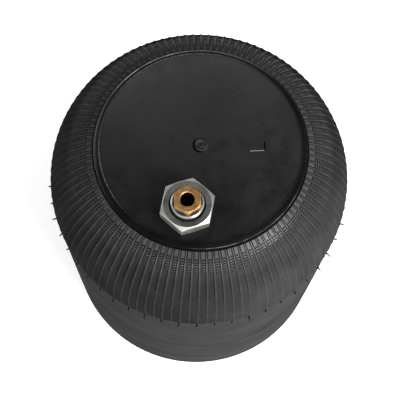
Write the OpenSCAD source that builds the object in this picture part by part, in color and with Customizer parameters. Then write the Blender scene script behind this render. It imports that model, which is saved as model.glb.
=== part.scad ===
// Rolling-lobe air bellows actuator.
// Millimetres, +Z up, base of the piston on z = 0, axis of the bellows on x = y = 0.

/* [Overall] */
// Height from the base to the top of the bead plate
install_h = 316; // [308:1:330]
// Largest outside diameter of the bellows, at the mould line
bellows_d = 238; // [234:1:242]
// Outside diameter of the bellows wall just above the rolled lobe
wall_low_d = 232; // [226:1:234]
// Thickness of the rubber wall
wall_t = 6; // [5:0.5:6.5]
// Height of the lobe's lowest point above the base
lobe_rise = 37; // [33:1:45]
// Radius of the ribbed shoulder's arc, over its ridges
shoulder_r = 70; // [68:1:74]
// Number of ridges on the shoulder
ridge_count = 108; // [72:4:120]
// Height of a ridge over the shoulder
ridge_h = 0.9; // [0.6:0.1:1.2]
// Share of a ridge's pitch that the ridge takes
ridge_share = 0.22; // [0.15:0.01:0.3]
// Length of the smooth blocks between the ridges, beside the plate's rim
block_l = 4.4; // [3:0.2:6]
// Share of a ridge's pitch that a block takes
block_share = 0.54; // [0.4:0.02:0.6]

/* [Bead plate] */
// Diameter over the crimped rim
plate_d = 160; // [157:1:163]
// Thickness of the sheet steel
plate_t = 3; // [2.5:0.25:3.5]
// Outside radius of the bend at the top edge
rim_r = 5; // [4:0.5:6]
// Straight wall of the rim under that bend
rim_wall = 5; // [4:0.5:7]
// Outside radius of the curl that grips the bead
curl_r = 6.5; // [6:0.25:7]
// Plate edge that shows above the rubber
rim_show = 4; // [3:0.5:4.5]
// Diameter of the dimple at the centre
dimple_d = 9; // [7:0.5:11]
// Depth of the dimple
dimple_depth = 1.2; // [0.6:0.1:1.4]
// Distance from the axis to the corner of the scribed tick
tick_r = 47; // [44:1:50]
// Length of the tick's long arm
tick_long = 10; // [8:0.5:12]
// Length of the tick's short arm
tick_short = 6; // [5:0.5:7]

/* [Air port] */
// Distance from the bellows axis to the hollow stud
stud_pitch_r = 51; // [48:0.5:51.5]
// Diameter of the hollow stud's thread
stud_d = 24; // [23:0.5:25]
// Diameter of the stud's flange under the plate
flange_d = 29; // [28:0.5:29.5]
// Thickness of the stud's flange
flange_t = 5; // [4:0.5:6]
// Thickness of the gasket under the plate
gasket_t = 1.5; // [1:0.25:2]
// Across flats of the stud nut
nut_af = 36; // [34:0.5:37]
// Height of the stud nut
nut_h = 12; // [10:0.5:14]
// Thread left free above the nut
stud_show = 4; // [3:0.5:6]
// Across flats of the air fitting's hex
hex_af = 19; // [18.5:0.25:20]
// Height of the air fitting's hex
hex_h = 5; // [4:0.5:7]
// Thread diameter of the air fitting's shank
shank_d = 16; // [15.5:0.25:16.5]
// Length of the shank
shank_l = 17; // [16:0.5:18]
// Diameter of the air tube that the fitting takes
tube_d = 10; // [9:0.25:10.25]
// Depth that the tube goes in
tube_depth = 14; // [12:0.5:15]
// Diameter of the air way below the tube
airway_d = 7; // [5:0.5:7.5]

/* [Piston] */
// Diameter of the piston's rolling wall
piston_d = 148; // [144:1:150]
// Height of the deck that the lower bead sits on
piston_h = 150; // [144:1:156]
// Radius of the piston's rounded upper edge
piston_round = 14; // [13:0.5:14.5]
// Diameter of the foot at the base
foot_d = 156; // [153:1:159]
// Height of the foot
foot_h = 8; // [6:0.5:10]
// Diameter of the neck that the lower bead fits over
seat_d = 92; // [90:0.5:92.5]
// Width of the lower bead
bead_w = 12; // [11:0.25:12.5]
// Height of the lower bead
bead_h = 17; // [15:0.5:19]
// Thickness of the skirt
skirt_t = 5.5; // [5:0.25:7]
// Thickness of the decks
deck_t = 12; // [10:0.5:14]
// Thickness of the radial ribs
rib_t = 5; // [4:0.5:6]
// Number of radial ribs
rib_count = 12; // [8:4:16]
// Diameter of the hub
hub_d = 44; // [42:1:48]
// Thickness of the neck's ring wall
ring_t = 6; // [5:0.5:7]

/* [Base threads] */
// Circle through the threaded inserts
insert_pcd = 90; // [88:1:92]
// Outside diameter of an insert
insert_d = 16; // [15:0.5:17]
// Thread diameter of an insert
insert_thread_d = 12; // [10:0.5:12]
// Length of an insert
insert_l = 25; // [20:1:30]
// Diameter of the boss around an insert
boss_d = 24; // [22:0.5:25]
// Height of that boss
boss_h = 60; // [50:1:70]

/* [Clamp] */
// Thread diameter of the piston bolt
bolt_d = 16; // [14:0.5:17]
// Across flats of the bolt head and its nut
bolt_af = 24; // [22:0.5:25]
// Height of the bolt head
bolt_head_h = 10; // [8:0.5:11]
// Height of the bolt's nut
bolt_nut_h = 13; // [11:0.5:14]
// Depth of the nut's recess in the hub
recess_h = 24; // [22:0.5:28]
// Thickness of the washers
washer_t = 3; // [2:0.25:4]
// Thickness of the bead retainer
retainer_t = 4; // [3:0.25:5]
// Thickness of the bolt's seal
seal_t = 2; // [1.5:0.25:2.5]

/* [Bumper] */
// Diameter of the bumper's foot
bump_foot_d = 72; // [66:1:76]
// Thickness of the bumper's foot
bump_foot_t = 6; // [5:0.5:8]
// Diameter of the bumper's head
bump_d = 54; // [50:1:58]
// Free travel of the plate down to the bumper
travel_down = 60; // [56:1:66]

/* [Clearances] */
// Gap between rubber and the metal or plastic around it
rubber_gap = 0.3; // [0.25:0.05:0.4]
// Radial play of a thread drawn as a plain cylinder
thread_gap = 0.05; // [0.03:0.01:0.1]
// Radial play of a bolt or stud in a plain hole
hole_gap = 0.3; // [0.2:0.05:0.5]
// Radial play of the tube in the fitting
tube_gap = 0.1; // [0.05:0.01:0.2]

/* [Hidden] */
$fn = 64;

plate_r = plate_d / 2;
bellows_r = bellows_d / 2;
piston_r = piston_d / 2;
seat_r = seat_d / 2;

// crimp
z_under = install_h - plate_t;
z_curl = install_h - rim_r - rim_wall;
curl_x = plate_r - curl_r;
lip_a = -110;
lip_step = 4;
core_r = 2.4;
core_cover = 1.6;
core_lift = 0.6;
core_x = plate_r - plate_t - rubber_gap - core_r - core_cover;
core_z = z_curl + core_lift;

// shoulder, wall and lobe
shoulder_x = bellows_r - shoulder_r;
shoulder_a = acos((plate_r + rubber_gap - shoulder_x) / shoulder_r);
shoulder_z = install_h - rim_show - shoulder_r * sin(shoulder_a);
shoulder_n = 8;
land_r = shoulder_r - ridge_h;
land_a = acos((plate_r + rubber_gap - shoulder_x) / land_r);
mould_drop = 10.3;
mould_a = -asin(mould_drop / land_r);
mould_x = shoulder_x + land_r * cos(mould_a);
z_mould = shoulder_z - mould_drop;
air_r = shoulder_r - wall_t;
ridge_pitch = 360 / ridge_count;
ridge_root = 1;
ridge_root_n = 4;
ridge_end = 1.2;
ridge_end_a = mould_a + bow(ridge_end, land_r);
ridge_start = 0.08;
ridge_a = land_a - bow(ridge_end, land_r);
block_h = 0.8;
slit_share = 0.08;
block_end_a = ridge_a - bow(block_l, land_r);
flash_t = 1.2;
lobe_out = wall_low_d / 2;
lobe_in = piston_r + rubber_gap;
lobe_x = (lobe_out + lobe_in) / 2;
lobe_r = (lobe_out - lobe_in) / 2;
z_lobe = lobe_rise + lobe_r;
root_r = curl_r + rubber_gap + wall_t;
root_a = -19;
neck_a = -125;
sleeve_a = 88;
air_a = asin((z_curl + root_r * sin(root_a) - shoulder_z) / air_r);
air_low_a = -asin(mould_drop / air_r);
bead_cut = 2;
z_bead_top = z_under - rubber_gap;

// piston and clamp
z_edge = piston_h - piston_round;
z_neck = piston_h + rubber_gap + bead_h + rubber_gap;
bead_in = seat_r + rubber_gap;
bead_out = bead_in + bead_w;
low_core_r = 3;
low_core_x = (bead_in + bead_out) / 2;
low_core_z = piston_h + rubber_gap + bead_h / 2;
bolt_r = bolt_d / 2;
bolt_hole_r = bolt_r + hole_gap;
bolt_corner = bolt_af / sqrt(3);
recess_play = 1.6;
recess_r = bolt_corner + recess_play;
seal_w = 4.5;
seal_r = bolt_hole_r + seal_w;
retainer_lip = 3;
retainer_r = bead_out + rubber_gap + retainer_lip;
retainer_drop = 7.5;
z_retainer = z_neck + retainer_t;
z_foot = z_retainer + bump_foot_t;
z_head = z_foot + washer_t;
bolt_end = 5;
washer_over = 5;
washer_r = bolt_corner + washer_over;
washer_play = 0.5;
bump_rest = 1.5;
bump_waist = 4;
bump_foot_cut = 1.5;
bump_root_w = 3;
bump_root_h = 10;
bump_neck_h = 12;
bump_crown_w = 9;
bump_crown_h = 8;
bump_nose = 3;
head_room = 6;
dome_w = 12;
dome_side_h = 10;
dome_h = 14;
z_bump = z_under - travel_down - bump_rest;
bump_r = bump_d / 2;
cavity_play = 2;
cavity_r = washer_r + cavity_play;
skirt_in = piston_r - skirt_t;
hub_r = hub_d / 2;
ring_in = seat_r - ring_t;
insert_count = 4;
insert_turn = 45;
insert_room = 3;

// air port
stud_r = stud_d / 2;
z_nut = install_h + nut_h;
z_stud = z_nut + stud_show;
fit_seal_t = 1.2;
z_hex = z_stud + fit_seal_t;
z_port = z_hex + hex_h;
shank_r = shank_d / 2;
bore_r = tube_d / 2 + tube_gap;
bore_cut = 1;
z_gasket = z_under - gasket_t;
z_flange = z_gasket - flange_t;
ring_gap = 0.1;
grip_t = 1.4;
grip_w = 1.3;
grip_lift = 0.6;
grip_r = bore_r + grip_w;
z_grip = z_hex + grip_lift;
tube_seal_w = 1.6;
tube_seal_t = 2.2;
tube_seal_lift = 3;
seal_groove_r = bore_r + tube_seal_w;
z_tube_seal = z_port - tube_depth + tube_seal_lift;
shank_room = 1;
fit_seal_inset = 1.4;

// turns of the hexes and the tick, chamfer of a hex, and how far a cut runs past a face
nut_turn = 30;
hex_turn = 43;
tick_turn = 6;
hex_face = 0.97;
hex_lean = 0.55;
past = 1;

// angle that a length takes up on an arc
function bow(l, r) = l / r * 180 / PI;

// points along an arc of a turned profile
function arc(x, z, r, a0, a1, n) =
    [for (i = [0:n]) let (a = a0 + (a1 - a0) * i / n) [x + r * cos(a), z + r * sin(a)]];

module at_stud() {
    translate([0, -stud_pitch_r, 0])
        children();
}

module at_inserts() {
    for (i = [0:insert_count - 1])
        rotate([0, 0, insert_turn + 360 * i / insert_count])
            translate([insert_pcd / 2, 0, 0])
                children();
}

// hexagon with a corner on the given angle, its corners cut back by a cone at one or both ends
module hex_block(af, h, turn, both) {
    corner = af / sqrt(3);
    flat = af / 2 * hex_face;
    lean = (corner - flat) * hex_lean;
    rim = corner + past;
    drop = lean * (rim - flat) / (corner - flat);
    intersection() {
        rotate([0, 0, turn])
            cylinder(r = corner, h = h, $fn = 6);
        rotate_extrude()
            polygon(concat(
                both ? [[0, 0], [flat, 0], [rim, drop]] : [[0, 0], [rim, 0]],
                [[rim, h - drop], [flat, h], [0, h]]
            ));
    }
}

module flat_ring(r_in, r_out, z0, h) {
    translate([0, 0, z0])
        rotate_extrude()
            translate([r_in, 0])
                square([r_out - r_in, h]);
}

module upper_bead_plate() {
    tick_w = 0.9;
    tick_cut = 0.4;
    dimple_r = (pow(dimple_d / 2, 2) + pow(dimple_depth, 2)) / (2 * dimple_depth);
    color([0.08, 0.08, 0.085])
        difference() {
            rotate_extrude()
                polygon(concat(
                    [[0, install_h]],
                    arc(plate_r - rim_r, install_h - rim_r, rim_r, 90, 0, 6),
                    arc(curl_x, z_curl, curl_r, 0, lip_a, 8),
                    arc(curl_x, z_curl, curl_r - plate_t, lip_a, 0, 6),
                    arc(plate_r - rim_r, install_h - rim_r, rim_r - plate_t, 0, 90, 4),
                    [[0, z_under]]
                ));
            at_stud()
                translate([0, 0, z_under - past])
                    cylinder(r = stud_r + hole_gap, h = plate_t + 2 * past);
            translate([0, 0, install_h - dimple_depth + dimple_r])
                sphere(r = dimple_r);
            rotate([0, 0, tick_turn])
                translate([tick_r, 0, install_h - tick_cut]) {
                    translate([-tick_long, 0, 0])
                        cube([tick_long, tick_w, past]);
                    translate([-tick_w, 0, 0])
                        cube([tick_w, tick_short, past]);
                }
        }
}

module upper_bead_core() {
    color([0.55, 0.5, 0.4])
        rotate_extrude()
            translate([core_x, core_z])
                circle(r = core_r, $fn = 20);
}

module air_stud() {
    tip = 0.8;
    relief_h = 1.5;
    relief_cut = 0.7;
    flange_cut = 1;
    color([0.6, 0.61, 0.6])
        at_stud()
            rotate_extrude()
                polygon([
                    [airway_d / 2, z_flange],
                    [flange_d / 2 - flange_cut, z_flange],
                    [flange_d / 2, z_flange + flange_cut],
                    [flange_d / 2, z_gasket],
                    [stud_r, z_gasket],
                    [stud_r, z_nut - relief_h],
                    [stud_r - relief_cut, z_nut - relief_h],
                    [stud_r - relief_cut, z_nut],
                    [stud_r, z_nut],
                    [stud_r, z_stud - tip],
                    [stud_r - tip, z_stud],
                    [shank_r + thread_gap, z_stud],
                    [shank_r + thread_gap, z_hex - shank_l - shank_room],
                    [airway_d / 2, z_hex - shank_l - shank_room]
                ]);
}

module stud_gasket() {
    color([0.16, 0.2, 0.18])
        at_stud()
            flat_ring(stud_r + hole_gap, flange_d / 2, z_gasket, gasket_t);
}

module stud_nut() {
    mouth = 1.5;
    color([0.72, 0.73, 0.72])
        at_stud()
            difference() {
                translate([0, 0, install_h])
                    hex_block(nut_af, nut_h, nut_turn, true);
                translate([0, 0, install_h - past])
                    cylinder(r = stud_r + thread_gap, h = nut_h + 2 * past);
                translate([0, 0, z_nut - mouth])
                    cylinder(h = mouth + past, r1 = stud_r + thread_gap,
                        r2 = stud_r + thread_gap + mouth + past);
            }
}

module air_fitting() {
    color([0.72, 0.53, 0.25])
        at_stud()
            difference() {
                union() {
                    translate([0, 0, z_hex])
                        hex_block(hex_af, hex_h, hex_turn, false);
                    translate([0, 0, z_hex - shank_l])
                        cylinder(r = shank_r - thread_gap, h = shank_l + past);
                }
                translate([0, 0, z_port - tube_depth])
                    cylinder(r = bore_r, h = tube_depth + past);
                translate([0, 0, z_port - bore_cut])
                    cylinder(r1 = bore_r, r2 = bore_r + bore_cut + past, h = bore_cut + past);
                translate([0, 0, z_hex - shank_l - past])
                    cylinder(r = airway_d / 2, h = shank_l + past);
                flat_ring(bore_r - past, grip_r + ring_gap, z_grip, grip_t + ring_gap);
                flat_ring(bore_r - past, seal_groove_r + ring_gap, z_tube_seal, tube_seal_t + ring_gap);
            }
}

module fitting_seal() {
    color([0.1, 0.1, 0.11])
        at_stud()
            flat_ring(shank_r + thread_gap, stud_r - fit_seal_inset, z_stud, fit_seal_t);
}

module fitting_grip_ring() {
    color([0.75, 0.75, 0.77])
        at_stud()
            flat_ring(bore_r + ring_gap, grip_r, z_grip, grip_t);
}

module tube_seal() {
    color([0.07, 0.07, 0.07])
        at_stud()
            flat_ring(bore_r + ring_gap, seal_groove_r, z_tube_seal, tube_seal_t);
}

// raised stretch of the shoulder, standing on the wall with its root inside it
module shoulder_pad(rise, share, a0, a1, top_n, root_n) {
    rotate_extrude(angle = ridge_pitch * share)
        polygon(concat(
            arc(shoulder_x, shoulder_z, land_r + rise, a0, a1, top_n),
            arc(shoulder_x, shoulder_z, land_r - ridge_root, a1, a0, root_n)
        ));
}

// rubber sleeve: beads, wall and lobe, with a ridge and a block for each pitch of the shoulder
module bellows() {
    color([0.17, 0.17, 0.18])
        union() {
            bellows_wall();
            for (i = [0:ridge_count - 1])
                rotate([0, 0, (i + ridge_start) * ridge_pitch]) {
                    shoulder_pad(ridge_h, ridge_share, ridge_a, ridge_end_a, shoulder_n, ridge_root_n);
                    rotate([0, 0, (ridge_share + slit_share) * ridge_pitch])
                        shoulder_pad(block_h, block_share, ridge_a, block_end_a, 1, 1);
                }
        }
}

module bellows_wall() {
    neck_r = curl_x + root_r * cos(neck_a);
    bead_edge = plate_r - plate_t - rubber_gap;
    rotate_extrude()
        difference() {
            polygon(concat(
                // outside of the shoulder, the flash on the mould line, then the lobe
                arc(shoulder_x, shoulder_z, land_r, land_a, mould_a, shoulder_n),
                [[mould_x + ridge_h, z_mould - flash_t / 2], [mould_x, z_mould - flash_t]],
                arc(lobe_x, z_lobe, lobe_r, 0, -180, 14),
                // side that lies on the piston, over its edge to the lower bead
                arc(piston_r - piston_round, z_edge, piston_round + rubber_gap, 0, 90, 6),
                [
                    [bead_in + bead_cut, piston_h + rubber_gap],
                    [bead_in, piston_h + rubber_gap + bead_cut],
                    [bead_in, z_neck - rubber_gap - bead_cut],
                    [bead_in + bead_cut, z_neck - rubber_gap],
                    [bead_out - bead_cut, z_neck - rubber_gap],
                    [bead_out, z_neck - rubber_gap - bead_cut],
                    [bead_out, piston_h + rubber_gap + wall_t]
                ],
                // air side, from the lower bead round the lobe to the shoulder
                arc(piston_r - piston_round, z_edge, piston_round + rubber_gap + wall_t, sleeve_a, 0, 6),
                arc(lobe_x, z_lobe, lobe_r - wall_t, -180, 0, 10),
                arc(shoulder_x, shoulder_z, air_r, air_low_a, air_a, 10),
                // round the curl of the plate to the upper bead
                arc(curl_x, z_curl, root_r, root_a, neck_a, 6),
                [
                    [neck_r, z_bead_top - bead_cut],
                    [neck_r + bead_cut, z_bead_top],
                    [bead_edge - bead_cut, z_bead_top],
                    [bead_edge, z_bead_top - bead_cut]
                ],
                arc(curl_x, z_curl, curl_r - plate_t - rubber_gap, 0, lip_a - lip_step, 6),
                arc(curl_x, z_curl, curl_r + rubber_gap, lip_a - lip_step, 0, 8)
            ));
            translate([core_x, core_z])
                circle(r = core_r + rubber_gap, $fn = 20);
            translate([low_core_x, low_core_z])
                circle(r = low_core_r + rubber_gap, $fn = 20);
        }
}

module piston() {
    flare = foot_d / 2 - piston_r;
    rib_root = 2;
    rib_in = hub_r - rib_root;
    rib_out = skirt_in + skirt_t / 2;
    z_deck = piston_h - deck_t;
    z_top = z_neck - deck_t;
    color([0.1, 0.1, 0.11])
        difference() {
            union() {
                rotate_extrude()
                    polygon(concat(
                        [
                            [bolt_hole_r, 0],
                            [hub_r, 0],
                            [hub_r, z_top],
                            [ring_in, z_top],
                            [ring_in, 0],
                            [seat_r, 0],
                            [seat_r, z_deck],
                            [skirt_in, z_deck],
                            [skirt_in, 0],
                            [foot_d / 2, 0],
                            [foot_d / 2, foot_h],
                            [piston_r, foot_h + flare]
                        ],
                        arc(piston_r - piston_round, z_edge, piston_round, 0, 90, 6),
                        [
                            [seat_r, piston_h],
                            [seat_r, z_neck],
                            [seal_r, z_neck],
                            [seal_r, z_neck - seal_t],
                            [bolt_hole_r, z_neck - seal_t]
                        ]
                    ));
                for (i = [0:rib_count - 1])
                    rotate([0, 0, 360 * i / rib_count])
                        translate([rib_in, -rib_t / 2, 0])
                            cube([rib_out - rib_in, rib_t, z_deck + past]);
                at_inserts()
                    cylinder(r = boss_d / 2, h = boss_h);
            }
            translate([0, 0, -past])
                cylinder(r = recess_r, h = recess_h + past);
            at_inserts()
                translate([0, 0, -past])
                    cylinder(r = insert_d / 2 + thread_gap, h = insert_l + insert_room + past);
        }
}

module lower_bead_core() {
    color([0.55, 0.5, 0.4])
        rotate_extrude()
            translate([low_core_x, low_core_z])
                circle(r = low_core_r, $fn = 20);
}

module bead_retainer() {
    bend = 2.5;
    color([0.62, 0.62, 0.6])
        rotate_extrude()
            polygon([
                [bolt_hole_r, z_neck],
                [retainer_r - retainer_lip, z_neck],
                [retainer_r - retainer_lip, z_neck - retainer_drop],
                [retainer_r, z_neck - retainer_drop],
                [retainer_r, z_retainer - bend],
                [retainer_r - bend, z_retainer],
                [bolt_hole_r, z_retainer]
            ]);
}

module piston_bolt() {
    color([0.66, 0.66, 0.64])
        union() {
            translate([0, 0, z_head])
                hex_block(bolt_af, bolt_head_h, 0, false);
            translate([0, 0, bolt_end])
                cylinder(r = bolt_r, h = z_head - bolt_end + past);
        }
}

module bolt_washer() {
    color([0.68, 0.68, 0.66])
        flat_ring(bolt_hole_r, washer_r, z_foot, washer_t);
}

module bolt_seal() {
    color([0.08, 0.08, 0.08])
        flat_ring(bolt_hole_r, seal_r - ring_gap, z_neck - seal_t, seal_t);
}

module nut_washer() {
    color([0.68, 0.68, 0.66])
        flat_ring(bolt_hole_r, recess_r - washer_play, recess_h - washer_t, washer_t);
}

module bolt_nut() {
    color([0.66, 0.66, 0.64])
        translate([0, 0, recess_h - washer_t - bolt_nut_h])
            difference() {
                hex_block(bolt_af, bolt_nut_h, 0, true);
                translate([0, 0, -past])
                    cylinder(r = bolt_r + thread_gap, h = bolt_nut_h + 2 * past);
            }
}

module bumper() {
    z_mid = (z_foot + z_bump) / 2;
    z_room = z_head + bolt_head_h + head_room;
    color([0.2, 0.19, 0.17])
        rotate_extrude()
            polygon([
                [bolt_hole_r, z_retainer],
                [bump_foot_d / 2, z_retainer],
                [bump_foot_d / 2, z_foot - bump_foot_cut],
                [bump_foot_d / 2 - bump_foot_cut, z_foot],
                [bump_r + bump_root_w, z_foot + bump_foot_cut],
                [bump_r, z_foot + bump_root_h],
                [bump_r - bump_waist, z_mid],
                [bump_r, z_mid + bump_neck_h],
                [bump_r, z_bump - bump_crown_h],
                [bump_r - bump_nose, z_bump - bump_nose],
                [bump_r - bump_crown_w, z_bump],
                [0, z_bump],
                [0, z_room + dome_h],
                [cavity_r - dome_w, z_room + dome_side_h],
                [cavity_r, z_room],
                [cavity_r, z_foot],
                [bolt_hole_r, z_foot]
            ]);
}

module mount_inserts() {
    color([0.7, 0.55, 0.3])
        at_inserts()
            flat_ring(insert_thread_d / 2, insert_d / 2, 0, insert_l);
}

upper_bead_plate();
upper_bead_core();
air_stud();
stud_gasket();
stud_nut();
air_fitting();
fitting_seal();
fitting_grip_ring();
tube_seal();
bellows();
piston();
lower_bead_core();
bead_retainer();
piston_bolt();
bolt_washer();
bolt_seal();
nut_washer();
bolt_nut();
bumper();
mount_inserts();
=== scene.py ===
"""Looks of a rolling-lobe air bellows actuator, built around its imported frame.

Lengths are in metres, in the frame's own axes: +Z up the bellows, the piston's
base on z = 0, and the air stud on -Y. Angles are in degrees unless a name or a
docstring says otherwise.
"""

import logging
import math
import random
from dataclasses import dataclass
from enum import Enum
from typing import Optional, Sequence, Union

import bmesh
import bpy
from mathutils import Matrix, Vector, noise


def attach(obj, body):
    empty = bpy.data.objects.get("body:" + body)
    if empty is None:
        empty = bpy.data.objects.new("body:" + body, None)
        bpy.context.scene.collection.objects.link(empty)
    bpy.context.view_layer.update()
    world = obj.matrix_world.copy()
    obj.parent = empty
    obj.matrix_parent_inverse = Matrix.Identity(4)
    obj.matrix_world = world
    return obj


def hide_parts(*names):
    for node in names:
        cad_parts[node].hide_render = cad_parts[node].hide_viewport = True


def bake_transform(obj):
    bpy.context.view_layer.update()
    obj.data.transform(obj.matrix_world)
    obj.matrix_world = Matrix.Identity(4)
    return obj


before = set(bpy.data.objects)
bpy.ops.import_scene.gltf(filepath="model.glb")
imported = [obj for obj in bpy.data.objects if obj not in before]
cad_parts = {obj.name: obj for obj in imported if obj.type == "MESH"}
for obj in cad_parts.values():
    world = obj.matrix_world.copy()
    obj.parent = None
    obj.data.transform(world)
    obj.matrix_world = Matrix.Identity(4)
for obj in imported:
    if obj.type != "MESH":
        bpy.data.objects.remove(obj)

LOG = logging.getLogger("bellows")
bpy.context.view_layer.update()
TAU = 2.0 * math.pi
WELD = 2e-6
TOUCH = 1e-5
FINE_TOUCH = 1e-6
BEVEL_STEPS = 2
BEVEL_ANGLE = 32.0
SHARP = 35.0
BLACK = (0.0, 0.0, 0.0)
WHITE = (1.0, 1.0, 1.0)
UP = (0, 0, 1)
ORIGIN = (0, 0, 0)

Point = tuple[float, float]
Way = tuple[float, float, float]
Colour = tuple[float, float, float]
Socket = bpy.types.NodeSocket
Element = Union[bmesh.types.BMVert, bmesh.types.BMEdge]


class Body(Enum):
    """Rigid bodies of the frame."""

    PISTON = "piston"
    BELLOWS = "bellows"
    HEAD = "head"


class Slot(Enum):
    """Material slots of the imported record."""

    PAINT = "black_paint"
    ZINC = "zinc"
    BRASS = "brass"
    RUBBER = "bellows_rubber"


# Mesh helpers


def arc(x: float, z: float, radius: float, start: float, stop: float, steps: int) -> list[Point]:
    """Lay points on an arc of a turned profile.

    Args:
        x: Distance of the arc's centre from the axis.
        z: Height of the arc's centre.
        radius: Radius of the arc.
        start: First angle, 0 pointing away from the axis and 90 up.
        stop: Last angle.
        steps: Number of chords.

    Returns:
        The points as (radius, height) pairs.
    """
    angles = [math.radians(start + (stop - start) * i / steps) for i in range(steps + 1)]
    return [(x + radius * math.cos(a), z + radius * math.sin(a)) for a in angles]


def lay_chain(bm: bmesh.types.BMesh, profile: Sequence[Point], closed: bool,
              turn: float = 0.0) -> list[Element]:
    """Lay a profile as a chain of vertices and edges.

    Args:
        bm: Mesh to add to.
        profile: The (radius, height) points in order.
        closed: Whether the last point joins the first.
        turn: Angle about the axis, in radians, at which the chain stands.

    Returns:
        The new vertices and edges.
    """
    verts = [bm.verts.new((r * math.cos(turn), r * math.sin(turn), z)) for r, z in profile]
    edges = [bm.edges.new(pair) for pair in zip(verts, verts[1:])]
    if closed:
        edges.append(bm.edges.new((verts[-1], verts[0])))
    return verts + edges


def spin_full(bm: bmesh.types.BMesh, geom: list[Element], steps: int) -> None:
    """Turn a chain once round the Z axis and weld its ends."""
    bmesh.ops.spin(bm, geom=geom, cent=ORIGIN, axis=UP, dvec=ORIGIN, angle=TAU, steps=steps, use_merge=True)
    bmesh.ops.remove_doubles(bm, verts=bm.verts, dist=WELD)


def make_piece(name: str, bm: bmesh.types.BMesh, sharp: float = SHARP) -> bpy.types.Object:
    """Turn a bmesh into a smooth-shaded object at the origin.

    Args:
        name: Name of the piece.
        bm: Its mesh, which is freed.
        sharp: Edges over this angle stay crisp.

    Returns:
        The new object, linked to the scene.
    """
    bmesh.ops.recalc_face_normals(bm, faces=bm.faces)
    for face in bm.faces:
        face.smooth = True
    mesh = bpy.data.meshes.new(name)
    bm.to_mesh(mesh)
    bm.free()
    mesh.set_sharp_from_angle(angle=math.radians(sharp))
    piece = bpy.data.objects.new(name, mesh)
    bpy.context.scene.collection.objects.link(piece)
    return piece


def turned(name: str, profile: Sequence[Point], steps: int, sharp: float) -> bpy.types.Object:
    """Make a turned ring from its closed profile.

    Args:
        name: Name of the piece.
        profile: The (radius, height) points.
        steps: Number of steps in the turn.
        sharp: Edges over this angle stay crisp.

    Returns:
        The new object.
    """
    bm = bmesh.new()
    spin_full(bm, lay_chain(bm, profile, closed=True), steps)
    return make_piece(name, bm, sharp)


def soften(piece: bpy.types.Object, width: float) -> None:
    """Round a piece's crisp edges with a small bevel.

    Args:
        piece: The piece.
        width: Width of the bevel.
    """
    bevel = piece.modifiers.new("edge", "BEVEL")
    bevel.width = width
    bevel.segments = BEVEL_STEPS
    bevel.limit_method = "ANGLE"
    bevel.angle_limit = math.radians(BEVEL_ANGLE)
    bevel.harden_normals = False


def cut_out(piece: bpy.types.Object, cutter: bpy.types.Object, sharp: float) -> None:
    """Cut one mesh out of another and drop the cutter.

    Args:
        piece: The mesh that is cut.
        cutter: What is cut out of it.
        sharp: Edges over this angle stay crisp.
    """
    cut = piece.modifiers.new("cut", "BOOLEAN")
    cut.operation = "DIFFERENCE"
    cut.solver = "MANIFOLD"
    cut.object = cutter
    solved = piece.evaluated_get(bpy.context.evaluated_depsgraph_get())
    mesh = bpy.data.meshes.new_from_object(solved)
    piece.modifiers.clear()
    piece.data = mesh
    mesh.name = piece.name
    mesh.set_sharp_from_angle(angle=math.radians(sharp))
    bpy.data.objects.remove(cutter)


def settle(piece: bpy.types.Object, body: Body, slot: Slot, material: bpy.types.Material,
           *nodes: str) -> None:
    """Dress a piece, set it on its body and let it stand for CAD nodes.

    Args:
        piece: The finished mesh.
        body: The body that it rides on.
        slot: The record's slot; not used.
        material: Its material, unless it is dressed already.
        *nodes: CAD nodes that it stands for.
    """
    if not piece.data.materials:
        piece.data.materials.append(material)
    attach(piece, body.value)
    if nodes:
        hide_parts(*nodes)
    LOG.info("%s rides on %s", piece.name, body.value)


# Materials


@dataclass(frozen=True)
class Band:
    """A range of values, and what a mask is at its two ends."""

    low: float
    high: float
    at_low: float = 0.0
    at_high: float = 1.0


@dataclass(frozen=True)
class Mottle:
    """A noise, and the band of it that a mask is made from."""

    scale: float
    detail: float = 2.0
    rough: float = 0.5
    band: Band = Band(0.3, 0.7)


@dataclass(frozen=True)
class Side:
    """A mask that changes along a direction over the part."""

    way: Way
    band: Band


@dataclass(frozen=True)
class Relief:
    """Depth of a bump, and how much of it counts."""

    depth: float
    strength: float = 1.0


def darker(colour: Colour, share: float) -> Colour:
    """Keep a share of a colour's brightness."""
    return tuple(c * share for c in colour)


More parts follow.
